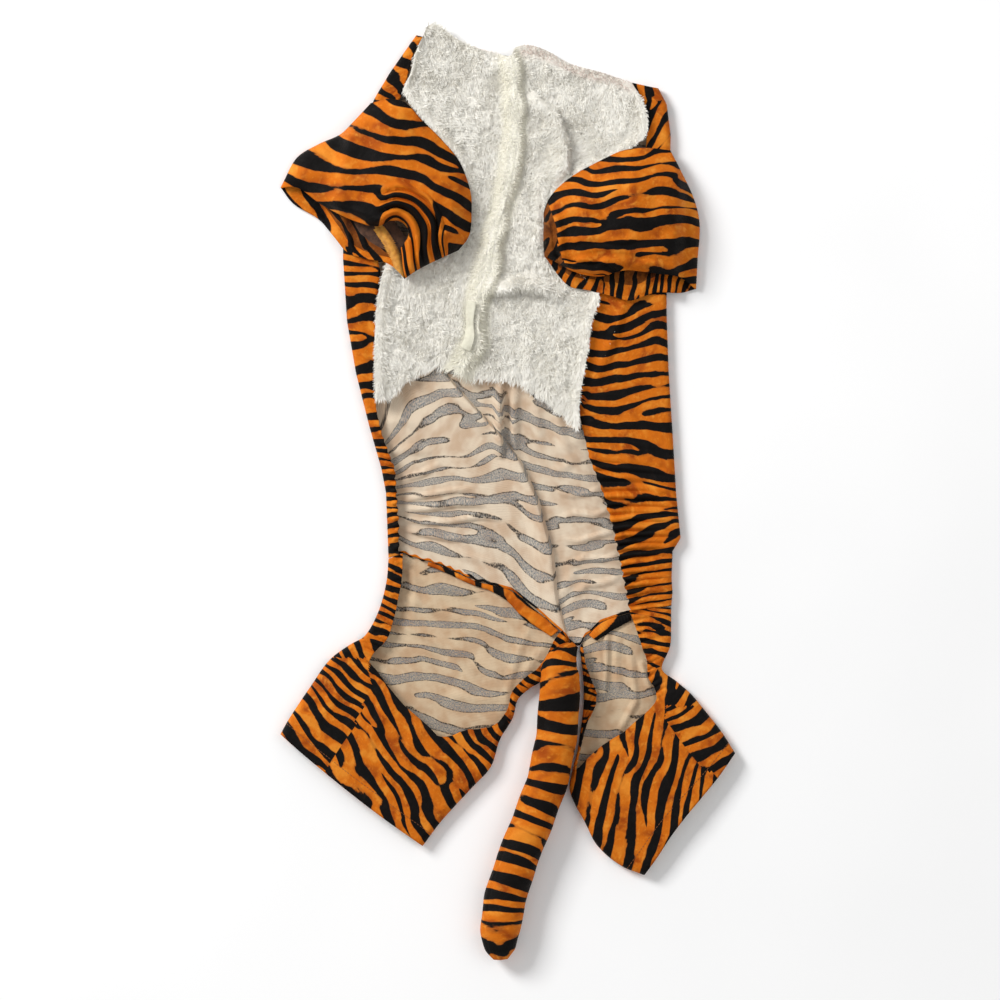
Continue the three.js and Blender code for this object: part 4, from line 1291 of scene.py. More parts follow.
LEG_LEFT = dict(
    outer=((-118.5, -65.5), (-120.5, -88), (-128.5, -118), (-142.5, -143), (-157.5, -152),
           (-177.5, -167), (-197.5, -195), (-217.5, -225), (-226.5, -241)),
    inner=((60.5, -148), (53.5, -156), (45.5, -172), (35.5, -186), (22.5, -194), (9.5, -206),
           (4.5, -224), (-8.5, -246), (-17.5, -273), (-37.5, -295), (-67.5, -328), (-85.5, -352)),
    top=((-118.5, -65.5), (-106, -61), (-95.5, -62), (-67.5, -70), (-29.5, -86), (4.5, -95),
         (26.5, -112), (52.5, -135), (60.5, -148)),
    hem=((-226.5, -241), (-207.5, -258), (-167.5, -291), (-127.5, -322), (-85.5, -352)),
    lips=((0, 0.07, 0.94), (0.2, 0.09, 0.935), (0.36, 0.133, 0.95), (0.44, 0.147, 0.943),
          (0.475, 0.155, 0.92), (0.52, 0.173, 0.85), (0.54, 0.247, 0.81), (0.567, 0.33, 0.775),
          (0.6, 0.467, 0.745), (0.62, 0.6, 0.72), (0.632, 0.69, 0.69)),
    meet=0.69,
    cuff_seam=((-139.5, -176), (-134.5, -196), (-142.5, -213), (-152.5, -236), (-167.5, -256),
               (-181.5, -276)),
    front_turn=-58.0,
    side_turn=-42.0,
    seam_on_left=True,
    sag=(-60.0, 0.0015, -0.2),
    strip=(0.4, -24.0),
    creases=(
        Crease(((-104, -78), (-70, -92), (-30, -104), (0, -120)), 2.2, 9.0, 0.3),
        Crease(((-112, -104), (-80, -112), (-44, -126), (-14, -146)), 2.0, 10.0),
        Crease(((-110, -130), (-84, -142), (-56, -158), (-30, -180)), 2.4, 9.0, 0.3),
        Crease(((-98, -72), (-92, -100), (-96, -130)), 2.0, 8.0),
        Crease(((24, -130), (10, -158), (2, -186), (-4, -210)), 2.4, 7.0, 0.3),
        Crease(((40, -150), (24, -168), (12, -190)), 2.0, 6.0),
        Crease(((-60, -200), (-30, -206), (-6, -204)), 1.8, 7.0),
    ),
    front_creases=(
        Crease(((-150, -166), (-166, -196), (-190, -226)), 1.8, 9.0),
        Crease(((-112, -196), (-128, -228), (-146, -262)), 1.6, 10.0),
        Crease(((-86, -226), (-100, -262), (-104, -300)), 1.8, 10.0),
        Crease(((-50, -238), (-66, -270), (-74, -306)), 1.6, 9.0),
    ),
)
LEG_RIGHT = dict(
    outer=((72.5, -156), (75.5, -180), (76.5, -208), (74, -233), (70, -258), (64.5, -280),
           (62.5, -296), (67.5, -310), (77.5, -328), (89.5, -351), (112.5, -371), (136.5, -381)),
    inner=((162.5, -114), (162.5, -133), (161.5, -153), (153.5, -176), (167.5, -188),
           (182.5, -201), (197.5, -219), (212.5, -238), (226.5, -260)),
    top=((72.5, -156), (77.5, -142), (92.5, -127), (118.5, -118), (142.5, -115), (162.5, -114)),
    hem=((136.5, -381), (149.5, -363), (162.5, -343), (177.5, -323), (192.5, -305),
         (210.5, -283), (226.5, -260)),
    lips=((0, 0.05, 0.62), (0.067, 0.05, 0.655), (0.2, 0.173, 0.73), (0.27, 0.253, 0.8),
          (0.327, 0.263, 0.84), (0.36, 0.1, 0.855), (0.427, 0.03, 0.85), (0.49, 0.03, 0.81),
          (0.507, 0.1, 0.78), (0.525, 0.3, 0.7), (0.542, 0.5, 0.5)),
    meet=0.5,
    cuff_seam=((157.5, -223), (172.5, -243), (182.5, -258), (192.5, -270), (209.5, -281)),
    front_turn=-100.0,
    side_turn=36.0,
    seam_on_left=False,
    sag=(110.0, 0.0, 0.05),
    strip=(0.34, -14.0),
    creases=(
        Crease(((122, -158), (127.5, -208), (108.5, -243)), 3.0, 6.0, 0.3),
        Crease(((132, -168), (142.5, -198), (147.5, -208)), 3.6, 6.0, 0.6),
        Crease(((98, -134), (98, -170), (96, -206)), 4.0, 6.0, 0.8),
        Crease(((92, -150), (94, -190), (88, -230)), 2.2, 7.0),
        Crease(((110, -140), (108, -170), (112, -200)), 1.8, 6.0),
    ),
    front_creases=(
        Crease(((100, -256), (96, -290), (104, -330)), 1.8, 10.0),
        Crease(((130, -236), (126, -280), (134, -330)), 1.8, 10.0),
        Crease(((152, -228), (158, -262), (160, -300)), 1.6, 9.0),
    ),
)


@dataclass
class Sleeve:
    """A short puffed sleeve from the armhole seam to the cuff."""

    name: str
    seam: Table
    under: Table
    outer: Table
    lower: Table
    rim_top: Table
    rim_under: Table
    stripes_turn: float
    pitch: float
    under_turn: float
    under_pitch: float
    # The bunched cloth at the cuff's inner end: its line, and from where to where it reaches.
    bunch_line: Table
    bunch_reach: tuple[float, float, float]
    bunch_pitch: float
    bunch_high: float
    start: Pair
    bunch_start: Pair
    tucked_line: Table
    tucked_turn: float
    lip_line: Table
    creases: Sequence[Crease]
    under_creases: Sequence[Crease]
    puff: Table = ((0, 2), (0.12, 12), (0.3, 21), (0.6, 24), (0.85, 20), (1, 17))
    lip_half: float = 5.0
    rows: int = 96
    columns: int = 176

    @staticmethod
    def rest(x: np.ndarray, y: np.ndarray) -> np.ndarray:
        """Returns the height of what a sleeve lies on: the floor, or the body further in."""
        inside = np.minimum(x - read(LEFT_FOLD, y), read(RIGHT_FOLD, y) - x)
        climb = ARM_MID + SOLID_WALL / 2 + SEAM
        on_fur = ARM_MID + SOLID_WALL / 2 + 2 * SEAM + FUR_EDGE
        return climb * ease(-20, -5, inside) + (on_fur - climb) * ease(6, 34, inside)

    def sheet(self) -> Cloth:
        """Returns the sleeve's wall."""
        outer, lower = Curve(self.outer), Curve(self.lower)
        down = np.linspace(0, 1, self.rows)[:, None]
        angle = (np.arange(self.columns + 1) % self.columns)[None] * math.tau / self.columns
        across = (1 - np.cos(angle)) / 2
        on_top = angle <= math.pi
        over = patch(Curve(self.seam), Curve(self.rim_top), outer, lower, across, down)
        under = patch(Curve(self.under), Curve(self.rim_under), outer, lower, across, down)
        plan = np.where(on_top[..., None], over, under)
        x, y = plan[..., 0], plan[..., 1]
        lift = np.abs(np.sin(angle))
        rest = self.rest(x, y) + FLOOR_MID
        ruffle = 1.6 * ease(0.6, 1, down) * np.sin(9 * math.pi * across) * lift
        side = 3 * ease(0, 0.25, down)
        z = rest + side * (1 - np.where(on_top, 0, np.sqrt(lift)))
        soft = (folds(self.creases, x, y) + 0.7 * waves(x, y, 13, 42)) * lift**0.7
        gathers = 0.9 * np.sin(math.tau * 16 * across) * (1 - ease(0.0, 0.16, down)) * lift
        rolled = 8.0 * ease(0.9, 1.0, down) ** 2 * lift
        tucks = folds(self.under_creases, x, y) * lift**0.7
        far, _, share = from_line(self.bunch_line, x, y)
        far = np.maximum(far + 1.5 * waves(x, y, 17, 24), 0.0)
        near, end, start_x = self.bunch_reach
        bunched = ease(near - 4, near, far) * (1 - ease(end - 5, end, far))
        bunched = bunched * ease(start_x - 8, start_x, x)
        ridges = bunched * self.bunch_high * np.sin(math.tau * far / self.bunch_pitch) * lift**0.5
        z = np.where(
            on_top,
            z + read(self.puff, down) * lift**0.8 + ruffle + (soft + gathers) * ease(0, 0.1, down)
            - rolled + ridges,
            z + tucks,
        )
        grid = np.stack([x, y, z], axis=-1)
        whole = turned(plan, self.stripes_turn, self.pitch, self.start)
        bent = np.stack([share * 24.0, far * (PRINT_PITCH / self.bunch_pitch)], axis=-1)
        drawn = (1 - ease(end - 14, end, far)) * ease(start_x - 12, start_x, x)
        maps = [
            between(whole, turned(bent, 0, PRINT_PITCH, self.bunch_start), drawn[..., None]),
            turned(plan, self.under_turn, self.under_pitch, (120, 60)),
            turned(plan, self.tucked_turn, 14, (40, 260)),
        ]
        _, side, _ = from_line(self.tucked_line, x, y)
        which = np.where(on_top, np.where(side < 0, 2, 0), 1)[:-1, :-1]
        # Painted shade: the tucked zone under the right sleeve's fold takes the darker velour copy on
        # its right side.
        outside = np.where(which == 2, 3, 0)
        lip, _, _ = from_line(self.lip_line, x, y)
        # Painted shade inside the sleeve: the dark plain knit deepest in, the darker velour copy
        # nearer the mouth, plain velour at the rim.
        inside = np.where(down > 0.84, 0, np.where(down > 0.6, 3, 1)) * np.ones_like(x, int)
        inside = np.where((lip < self.lip_half) & ~on_top, 2, inside)[:-1, :-1]
        return Cloth(grid, maps, which, closed_from=0, inside=inside, outside=outside,
                     face_up=(self.rows // 2, self.columns // 4))


SLEEVE_LEFT = dict(
    name="sleeve_left",
    seam=((-136, 389), (-117, 393), (-102, 389), (-87, 373), (-67, 353), (-49, 331), (-38, 302),
          (-36.5, 284), (-39, 257), (-49, 243)),
    under=((-136, 389), (-131, 370), (-126, 330), (-120, 290), (-100, 255), (-49, 243)),
    outer=((-136, 389), (-152, 372), (-167, 358), (-189, 348), (-210, 335), (-223, 312),
           (-226.5, 305)),
    lower=((-49, 243), (-62, 237), (-77, 230), (-92, 222), (-103.5, 214)),
    rim_top=((-226.5, 305), (-210, 305), (-187, 289), (-157, 273), (-131, 266), (-118, 271),
             (-105, 270), (-98.5, 261), (-101, 251), (-106, 244), (-105, 230), (-103.5, 214)),
    rim_under=((-226.5, 305), (-215, 290), (-189, 274), (-174, 257), (-161, 241), (-142, 234),
               (-122, 230), (-110, 222), (-103.5, 214)),
    stripes_turn=-19.0,
    pitch=21.0,
    under_turn=-62.0,
    under_pitch=13.0,
    bunch_line=((-111, 260), (-109, 242), (-103.5, 208)),
    bunch_reach=(8.0, 50.0, -122.0),
    bunch_pitch=8.6,
    bunch_high=3.2,
    start=(296.0, 98.0),
    bunch_start=(83.0, 246.0),
    tucked_line=((-400, 1), (-400, 0)),
    tucked_turn=0.0,
    lip_line=((-127, 262), (-118, 250), (-110, 234), (-104, 212)),
    creases=(
        Crease(((-72, 256), (-58, 259), (-44, 262)), 4.0, 5.0, 0.5),
        Crease(((-60, 276), (-54, 268), (-46, 262)), 2.6, 5.0, 0.3),
        Crease(((-150, 268), (-124, 272), (-104, 284)), 3.0, 6.0, 0.2),
        Crease(((-190, 292), (-160, 282), (-130, 276)), 2.6, 6.0, 0.3),
        Crease(((-210, 316), (-180, 322), (-150, 318)), 2.0, 10.0),
        Crease(((-130, 372), (-118, 350), (-112, 326)), 2.0, 11.0),
        Crease(((-92, 368), (-88, 342), (-92, 320)), -1.8, 9.0),
        Crease(((-200, 300), (-170, 296), (-140, 280)), 1.6, 8.0),
    ),
    under_creases=(
        Crease(((-216, 292), (-196, 282), (-180, 268)), 2.2, 5.0),
        Crease(((-160, 262), (-156, 246), (-150, 236)), 3.4, 4.0),
        Crease(((-146, 262), (-143, 248), (-140, 236)), 3.4, 4.0),
        Crease(((-128, 264), (-118, 250), (-110, 234), (-104, 210)), 8.0, 7.0, 0.3),
    ),
)
SLEEVE_RIGHT = dict(
    name="sleeve_right",
    seam=((161.5, 342), (140, 344), (117, 342), (92, 331), (62, 314), (44, 297), (37, 282),
          (36.5, 267)),
    under=((161.5, 342), (150, 325), (140, 300), (110, 275), (70, 266), (36.5, 267)),
    outer=((161.5, 342), (172, 322), (185, 295), (191, 270), (189, 232), (187.5, 204)),
    lower=((36.5, 267), (36, 250), (37, 236)),
    rim_top=((187.5, 204), (172, 215), (147, 219), (117, 222), (92, 216), (70, 219), (52, 228),
             (37, 236)),
    rim_under=((187.5, 204), (172, 200), (147, 200), (122, 192), (102, 197), (82, 202),
               (62, 206), (52, 215), (44, 226), (37, 236)),
    stripes_turn=4.0,
    pitch=15.0,
    under_turn=76.0,
    under_pitch=11.0,
    bunch_line=((28, 214), (64, 206), (92, 202)),
    bunch_reach=(12.0, 30.0, 40.0),
    bunch_pitch=9.0,
    bunch_high=1.8,
    start=(215.0, 90.0),
    bunch_start=(318.0, 329.0),
    tucked_line=((36.5, 300), (43, 283), (50, 262), (51.5, 243), (58.5, 226), (71, 211), (78, 190)),
    tucked_turn=62.0,
    lip_line=((400, 0), (400, 1)),
    creases=(
        Crease(((43, 286), (50, 262), (51.5, 243), (58.5, 226), (71, 211)), 7.0, 9.0, 0.9),
        Crease(((39, 282), (45, 262), (46.5, 243), (53, 225), (64, 209)), -4.0, 3.6),
        Crease(((150, 336), (156, 300), (160, 262)), 2.2, 11.0),
        Crease(((96, 328), (92, 296), (98, 262)), -1.8, 10.0),
        Crease(((126, 338), (122, 300), (128, 250)), 1.8, 11.0),
        Crease(((176, 262), (150, 246), (120, 240)), 1.8, 9.0),
        Crease(((70, 300), (80, 270), (78, 240)), 1.6, 9.0),
        Crease(((64, 224), (74, 232), (86, 230)), 4.0, 5.0, 0.3),
        Crease(((88, 222), (98, 232), (112, 228)), 3.4, 5.0, 0.3),
        Crease(((60, 250), (84, 254), (112, 250), (140, 256)), 2.2, 7.0, 0.3),
        Crease(((70, 240), (96, 244), (124, 240), (160, 232)), 2.4, 6.0, 0.3),
        Crease(((120, 222), (140, 230), (170, 224)), 2.6, 5.0),
    ),
    under_creases=(
        Crease(((56, 232), (64, 218), (70, 206)), 3.4, 4.5),
        Crease(((78, 222), (84, 210), (88, 200)), 3.0, 4.0),
        Crease(((96, 220), (104, 208), (110, 198)), 4.0, 4.5),
        Crease(((146, 222), (140, 212), (132, 198)), 3.0, 5.0),
    ),
)


@dataclass
class Scalp:
    """A single layer of points that fur grows from, with how it grows at each."""

    points: np.ndarray
    comb: np.ndarray
    long: np.ndarray
    cream: np.ndarray
    blush: np.ndarray


@dataclass
class FurHalf:
    """One half of the white fur belly panel, with its rolled edge along the placket."""

    name: str
    on_left: bool
    side: Table
    seed: int
    neck_edge: Table = (
        (-84, 458), (-79.5, 466.5), (-67, 466), (-62, 462), (-47, 452), (-27, 445), (-7, 440),
        (4, 438), (9, 446.5), (22, 449), (42, 442), (62, 430), (92, 421), (123.5, 409.5),
    )
    hem_edge: Table = (
        (-131.5, 94), (-114, 102), (-102, 116), (-87, 127), (-67, 132), (-49, 122), (-27, 120),
        (2, 116), (17, 108), (37, 95), (54, 80), (70, 65),
    )
    neck_split: float = 0.44
    hem_split: float = 0.375
    placket: Table = (
        (4, 438), (7.5, 400), (7.5, 357), (2.5, 317), (-4, 290), (-14, 255), (-20, 222),
        (-30, 190), (-33, 150), (-49, 122),
    )
    ridge_high: float = 8.5
    ridge_left: Pair = (3.0, 14.0)
    ridge_right: Pair = (4.0, 12.0)
    high: float = 10.4
    low: float = 6.6
    folds_on_fur: Sequence[Crease] = (
        Crease(((50, 300), (59, 327), (58, 352), (47, 379), (20, 400)), 11.0, 18, 0.9),
        Crease(((-30, 196), (-17, 202), (12, 206), (33, 204), (56, 194)), 12, 17, 0.9),
        Crease(((-95, 222), (-70, 227), (-48, 230)), 4, 14, 0.3),
        Crease(((30, 320), (32, 280), (26, 240)), 4.5, 12, 0.6),
        Crease(((-116, 202), (-84, 168), (-52, 135)), -3.4, 5),
        Crease(((-60, 420), (-40, 400), (-16, 392)), -2.6, 5),
        Crease(((30, 150), (20, 136), (22, 112)), 2.0, 8, 0.4),
    )
    rows: int = 140
    columns: int = 100
    backing: float = 4.6
    least: float = 2.2
    strands: float = 1.45e6

    def surface(self, reach, down) -> np.ndarray:
        """Returns the fur slab's mid-surface at a distance from the placket.

        Args:
            reach: distance from the placket as a share of the row.
            down: share from the neck to the hem.

        Returns:
            Points in millimetres, and the distances from the placket and from the side seam.
        """
        neck, hem = Curve(self.neck_edge), Curve(self.hem_edge)
        shift = -SEAM / 2 if self.on_left else SEAM / 2
        side, middle = Curve(self.side), Curve([(x + shift, y) for x, y in self.placket])
        if self.on_left:
            parts = (neck.part(0, self.neck_split), hem.part(0, self.hem_split), side, middle)
            across = 1 - reach
        else:
            parts = (neck.part(self.neck_split, 1), hem.part(self.hem_split, 1), middle, side)
            across = reach
        plan = patch(*parts, across, down, fade=3.0)
        ends = np.linalg.norm(side(down) - middle(down), axis=-1)
        near, far = reach * ends, (1 - reach) * ends
        y = plan[..., 1]
        lump = np.sin(y / 9 + 1.5 * np.sin(y / 21)) + 0.7 * np.sin(y / 23 + 1)
        foot = self.ridge_left if self.on_left else self.ridge_right
        ridge = 1 - ease(*foot, near + 2.2 * lump)
        z = between(self.high, self.low, ease(10, 60, far))
        z = z + self.ridge_high * ridge * (0.86 + 0.14 * np.sin(y / 13 + 2) + 0.1 * np.sin(y / 5.5))
        z = z + folds(self.folds_on_fur, plan[..., 0], plan[..., 1])
        return np.concatenate([plan, z[..., None], near[..., None], far[..., None]], axis=-1)

    def sheet(self) -> tuple[Cloth, np.ndarray]:
        """Returns the knitted backing and, for each of its points, what surface() gives."""
        share = np.linspace(0, 1, self.columns)[None]
        down = np.linspace(0, 1, self.rows)[:, None]
        spots = self.surface(share, down)
        lap = np.clip((spots[..., 4] - 6) / 7, 0, 1)
        edge = ARM_MID + SOLID_WALL / 2 + SEAM
        z = between(edge, spots[..., 2] - FUR / 2, lap) + self.backing / 2 + 0.1
        z = z + self.crinkle(spots[..., 0], spots[..., 1]) * lap * ease(9, 20, spots[..., 3])
        under = np.maximum(z - self.backing / 2, self.least)
        over = np.maximum(z + self.backing / 2, under + 1.2)
        grid = np.concatenate([spots[..., :2], (under + over)[..., None] / 2], axis=-1)
        wall = Cloth(grid, [spots[..., :2]], thick=over - under, face_up=(5, 5), upright=True)
        return wall, spots

    @staticmethod
    def crinkle(x: np.ndarray, y: np.ndarray) -> np.ndarray:
        """Returns the unevenness of the pile: soft lumps parted by thin crevices."""
        path = waves(x, y, 61, 30) + 0.5 * waves(x, y, 62, 12)
        other = waves(x, y, 63, 22) + 0.6 * waves(x, y, 64, 9)
        crevice = np.exp(-((path / 0.16) ** 2)) + 0.7 * np.exp(-((other / 0.14) ** 2))
        return 0.5 * waves(x, y, 65, 14) - 2.0 * crevice

    def scalp(self) -> Scalp:
        """Returns where the fur grows, which way it is combed and how long it is."""
        wall, spots = self.sheet()
        points = wall.outer()
        near, far = spots[..., 3], spots[..., 4]
        down = np.linspace(0, 1, self.rows)[:, None] * np.ones_like(near)
        along = unit(np.gradient(spots[..., :2], axis=0))
        away = unit(np.gradient(spots[..., :2], axis=1))
        hem = ease(0.955, 1.0, down)
        neck = 1 - ease(0.0, 0.03, down)
        roll = 1 - ease(9, 17, near)
        edge = 1 - ease(3, 11, far)
        comb = along * (0.5 + 0.7 * hem - 0.8 * neck)[..., None]
        across = 1 - ease(1, 4, near)
        comb = comb + away * (0.25 * roll + 0.45 * edge - 1.3 * across)[..., None]
        length = 1.0 + 0.75 * hem - 0.42 * roll * (1 - hem) - 0.35 * neck - 0.3 * edge
        long_tufts = ease(195, 175, points[..., 1]) * (1 - ease(10, 22, near))
        length = length + 0.5 * long_tufts + 0.7 * neck * (1 - ease(-72, -52, points[..., 0]))
        band = (1 - ease(0.024, 0.032, down)) * ease(8, 14, near) * (0.0 if self.on_left else 1.0)
        length = length * (1 - 0.6 * band)
        for shape in (SLEEVE_LEFT, SLEEVE_RIGHT):
            outline = [*shape["seam"], *shape["lower"],
                       *shape["rim_under"][::-1], *shape["outer"][::-1]]
            length = np.where(within(outline, points[..., 0], points[..., 1]), 0.25, length)
        return Scalp(points, np.concatenate([comb, 0 * comb[..., :1]], axis=-1), length, roll, band)


FUR_SIDES = {
    "left": (
        (-83.5, 458), (-92.5, 438), (-97, 419), (-104, 401), (-88, 378), (-77, 364),
        (-60, 347), (-50, 332), (-46, 306), (-51, 283), (-68, 264), (-94, 250), (-117, 235),
        (-128, 205), (-132, 165), (-133, 132), (-131.5, 94),
    ),
    "right": (
        (123.5, 409.5), (136, 387), (138, 360), (112, 336), (90, 327), (64, 310), (50, 292),
        (44, 268), (48, 238), (78, 216), (91, 196), (84, 172), (79, 137), (72, 97), (70, 65),
    ),
}


class Tree(Nodes):
    """A geometry node tree under construction."""

    def __init__(self, name: str, sizes: dict[str, tuple[str, float]]) -> None:
        """Starts a tree that takes a mesh, a material and named sizes.

        Args:
            name: the tree's name.
            sizes: for each input, its socket type and its value.
        """
        self.tree = bpy.data.node_groups.new(name, "GeometryNodeTree")
        face = self.tree.interface
        face.new_socket("Geometry", in_out="INPUT", socket_type="NodeSocketGeometry")
        face.new_socket("Geometry", in_out="OUTPUT", socket_type="NodeSocketGeometry")
        face.new_socket("Finish", in_out="INPUT", socket_type="NodeSocketMaterial")
        for label, (kind, _) in sizes.items():
            face.new_socket(label, in_out="INPUT", socket_type=kind)
        self.sizes = sizes
        self.start = self.tree.nodes.new("NodeGroupInput")
        self.end = self.tree.nodes.new("NodeGroupOutput")

    def named(self, name: str, kind: str = "FLOAT") -> Num:
        """Returns a named attribute of the mesh that the tree runs on."""
        found = self.node("GeometryNodeInputNamedAttribute", {"data_type": kind}, {"Name": name})
        return Num(self, found.outputs[0])

    def given(self, name: str) -> Num:
        """Returns one of the tree's named sizes."""
        return Num(self, self.start.outputs[name])

    def close(self, geometry: bpy.types.NodeSocket) -> None:
        """Realizes the instances, sets their finish and ends the tree."""
        real = self.node("GeometryNodeRealizeInstances", inputs={"Geometry": geometry})
        dressed = self.node("GeometryNodeSetMaterial", inputs={
            "Geometry": real.outputs[0], "Material": self.start.outputs["Finish"]})
        smooth = self.node("GeometryNodeSetShadeSmooth", inputs={"Geometry": dressed.outputs[0]})
        self.tree.links.new(smooth.outputs[0], self.end.inputs[0])

    def grow(self, source: bpy.types.Object, name: str,
             finish: bpy.types.Material) -> bpy.types.Object:
        """Runs the tree on an object and keeps the result as a plain mesh.

        Args:
            source: the object to run on, which is then removed.
            name: the new piece's name.
            finish: its material.

        Returns:
            The new piece.
        """
        modifier = source.modifiers.new(name, "NODES")
        modifier.node_group = self.tree
        for item in self.tree.interface.items_tree:
            if item.in_out == "INPUT" and item.name in self.sizes:
                modifier[item.identifier] = self.sizes[item.name][1]
            if item.in_out == "INPUT" and item.name == "Finish":
                modifier[item.identifier] = finish
        seen = source.evaluated_get(bpy.context.evaluated_depsgraph_get())
        mesh = bpy.data.meshes.new_from_object(seen)
        mesh.name = name
        made = placed(name, mesh)
        source.modifiers.clear()
        bpy.data.objects.remove(source)
        return made


class FurTree(Tree):
    """Grows tapered strands that lean in clumps over a scalp."""

    MIDDLE_GREY = (0.5, 0.5, 0.5)
    # How far a strand bows, as a share of its length, and how hard it leans to its clump.
    BOW = 0.25
    PULL = 80.0
    # How much the clump and the place turn it, and how much the scalp's own normal lifts it.
    CLUMP_TURN = 0.6
    PLACE_TURN = 2.0
    LIFT = 0.16

    def __init__(self, density: float, seed: int) -> None:
        """Builds the tree.

        Args:
            density: strands per square metre.
            seed: picks where they stand.
        """
        number = "NodeSocketFloat"
        super().__init__("fur_strands", {
            "Density": (number, density), "Length": (number, 0.0050), "Width": (number, 0.00064),
            "Clumps": (number, 240.0), "Seed": ("NodeSocketInt", seed),
        })
        points = self.node("GeometryNodeDistributePointsOnFaces", inputs={
            "Mesh": self.given("Geometry"), "Density": self.given("Density"),
            "Seed": self.given("Seed")})
        grown = self.node("GeometryNodeInstanceOnPoints", inputs={
            "Points": points.outputs["Points"], "Instance": self._strand(),
            "Rotation": self._lean(points.outputs["Normal"]), "Scale": self._size()})
        self.close(grown.outputs[0])

    def _strand(self) -> bpy.types.NodeSocket:
        """Returns one strand: a curved ribbon that narrows to its tip and knows its own length."""
        grid = self.node("GeometryNodeMeshGrid", inputs={
            "Size X": 1.0, "Size Y": 1.0, "Vertices X": 2, "Vertices Y": 3})
        parts = self.node("ShaderNodeSeparateXYZ", inputs={
            0: self.node("GeometryNodeInputPosition").outputs[0]})
        along = Num(self, parts.outputs[1]) + 0.5
        marked = self.node(
            "GeometryNodeStoreNamedAttribute", {"data_type": "FLOAT", "domain": "POINT"},
            {"Geometry": grid.outputs["Mesh"], "Name": ALONG, "Value": along})
        bent = self.math("POWER", along, 2.0)
        wide = Num(self, parts.outputs[0]) * (1.0 - bent) * self.given("Width")
        high = along * self.given("Length")
        bow = bent * (self.given("Length") * self.BOW)
        spot = self.node("ShaderNodeCombineXYZ", inputs={0: wide, 1: bow, 2: high})
        moved = self.node("GeometryNodeSetPosition", inputs={
            "Geometry": marked.outputs[0], "Position": spot.outputs[0]})
        return self.node("GeometryNodeMergeByDistance", inputs={
            "Geometry": moved.outputs[0], "Distance": 1e-6}).outputs[0]

    def _noise(self, place: bpy.types.NodeSocket, scale: float) -> bpy.types.NodeSocket:
        """Returns the colour of noise at a scale in blobs per metre."""
        return self.node("ShaderNodeTexNoise", inputs={
            "Vector": place, "Scale": scale, "Detail": 1.0}).outputs["Color"]

    def _vector(self, operation: str, first, second) -> bpy.types.NodeSocket:
        """Returns a Vector Math node's result, with a number as scale."""
        key = "Scale" if operation == "SCALE" else 1
        node = self.node("ShaderNodeVectorMath", {"operation": operation}, {0: first, key: second})
        return node.outputs[0]

    def _lean(self, normal: bpy.types.NodeSocket) -> bpy.types.NodeSocket:
        """Returns each strand's rotation: combed, then pushed over with its clump."""
        place = self.node("GeometryNodeInputPosition").outputs[0]
        bent = self._vector("ADD", place, self._vector("SCALE", self._noise(place, 90.0), 0.012))
        clumps = self.node("ShaderNodeTexVoronoi", inputs={
            "Vector": bent, "Scale": self.given("Clumps"), "Randomness": 1.0})
        to_middle = self._vector("SUBTRACT", clumps.outputs["Position"], bent)
        gather = self._vector("SCALE", to_middle, self.PULL)
        swirl = self._vector("SUBTRACT", clumps.outputs["Color"], self.MIDDLE_GREY)
        sweep = self._vector("SUBTRACT", self._noise(place, 48.0), self.MIDDLE_GREY)
        free = 1.0 - self.named("cream") * 0.8
        wild = self._vector("ADD", self._vector("SCALE", swirl, self.CLUMP_TURN),
                            self._vector("SCALE", sweep, self.PLACE_TURN))
        loose = self.node("FunctionNodeRandomValue", {"data_type": "FLOAT_VECTOR"}, {
            0: (-0.45, -0.45, -0.05), 1: (0.45, 0.45, 0.2), "Seed": 5}).outputs[0]
        comb = self.named("comb", "FLOAT_VECTOR")
        lean = self._vector("ADD", comb, self._vector("SCALE", wild, free))
        lean = self._vector("ADD", lean, self._vector("ADD", gather, loose))
        level = self._vector("MULTIPLY", lean, (1.0, 1.0, 0.3))
        aim = self._vector("ADD", level, self._vector("SCALE", normal, self.LIFT))
        flat = self.node("FunctionNodeAlignRotationToVector", {"axis": "Z"}, {"Vector": aim})
        faced = self.node("FunctionNodeAlignRotationToVector", {"axis": "Y", "pivot_axis": "Z"}, {
            "Rotation": flat.outputs[0], "Vector": normal})
        return faced.outputs[0]

    def _size(self) -> bpy.types.NodeSocket:
        """Returns each strand's scale: its place's length, a little uneven."""
        random = self.node(
            "FunctionNodeRandomValue", {"data_type": "FLOAT"}, {2: 0.65, 3: 1.2, "Seed": 11})
        uneven = Num(self, random.outputs[1])
        long = self.named("long") * uneven
        return self.node("ShaderNodeCombineXYZ", inputs={0: uneven, 1: long, 2: long}).outputs[0]


class StitchTree(Tree):
    """Sets a short straight stitch on every point of a line of places."""

    def __init__(self) -> None:
        """Builds the tree."""
        number = "NodeSocketFloat"
        super().__init__("stitches", {"Length": (number, 0.0024), "Thickness": (number, 0.0003)})
        bar = self.node("GeometryNodeMeshCylinder", inputs={
            "Vertices": 5, "Side Segments": 2, "Radius": self.given("Thickness"),
            "Depth": self.given("Length")})
        points = self.node("GeometryNodeMeshToPoints", inputs={"Mesh": self.given("Geometry")})
        turn = self.node("FunctionNodeAlignRotationToVector", {"axis": "Z"}, {
            "Vector": self.named(ALONG, "FLOAT_VECTOR")})
        stitches = self.node("GeometryNodeInstanceOnPoints", inputs={
            "Points": points.outputs[0], "Instance": bar.outputs["Mesh"],
            "Rotation": turn.outputs[0]})
        self.close(stitches.outputs[0])


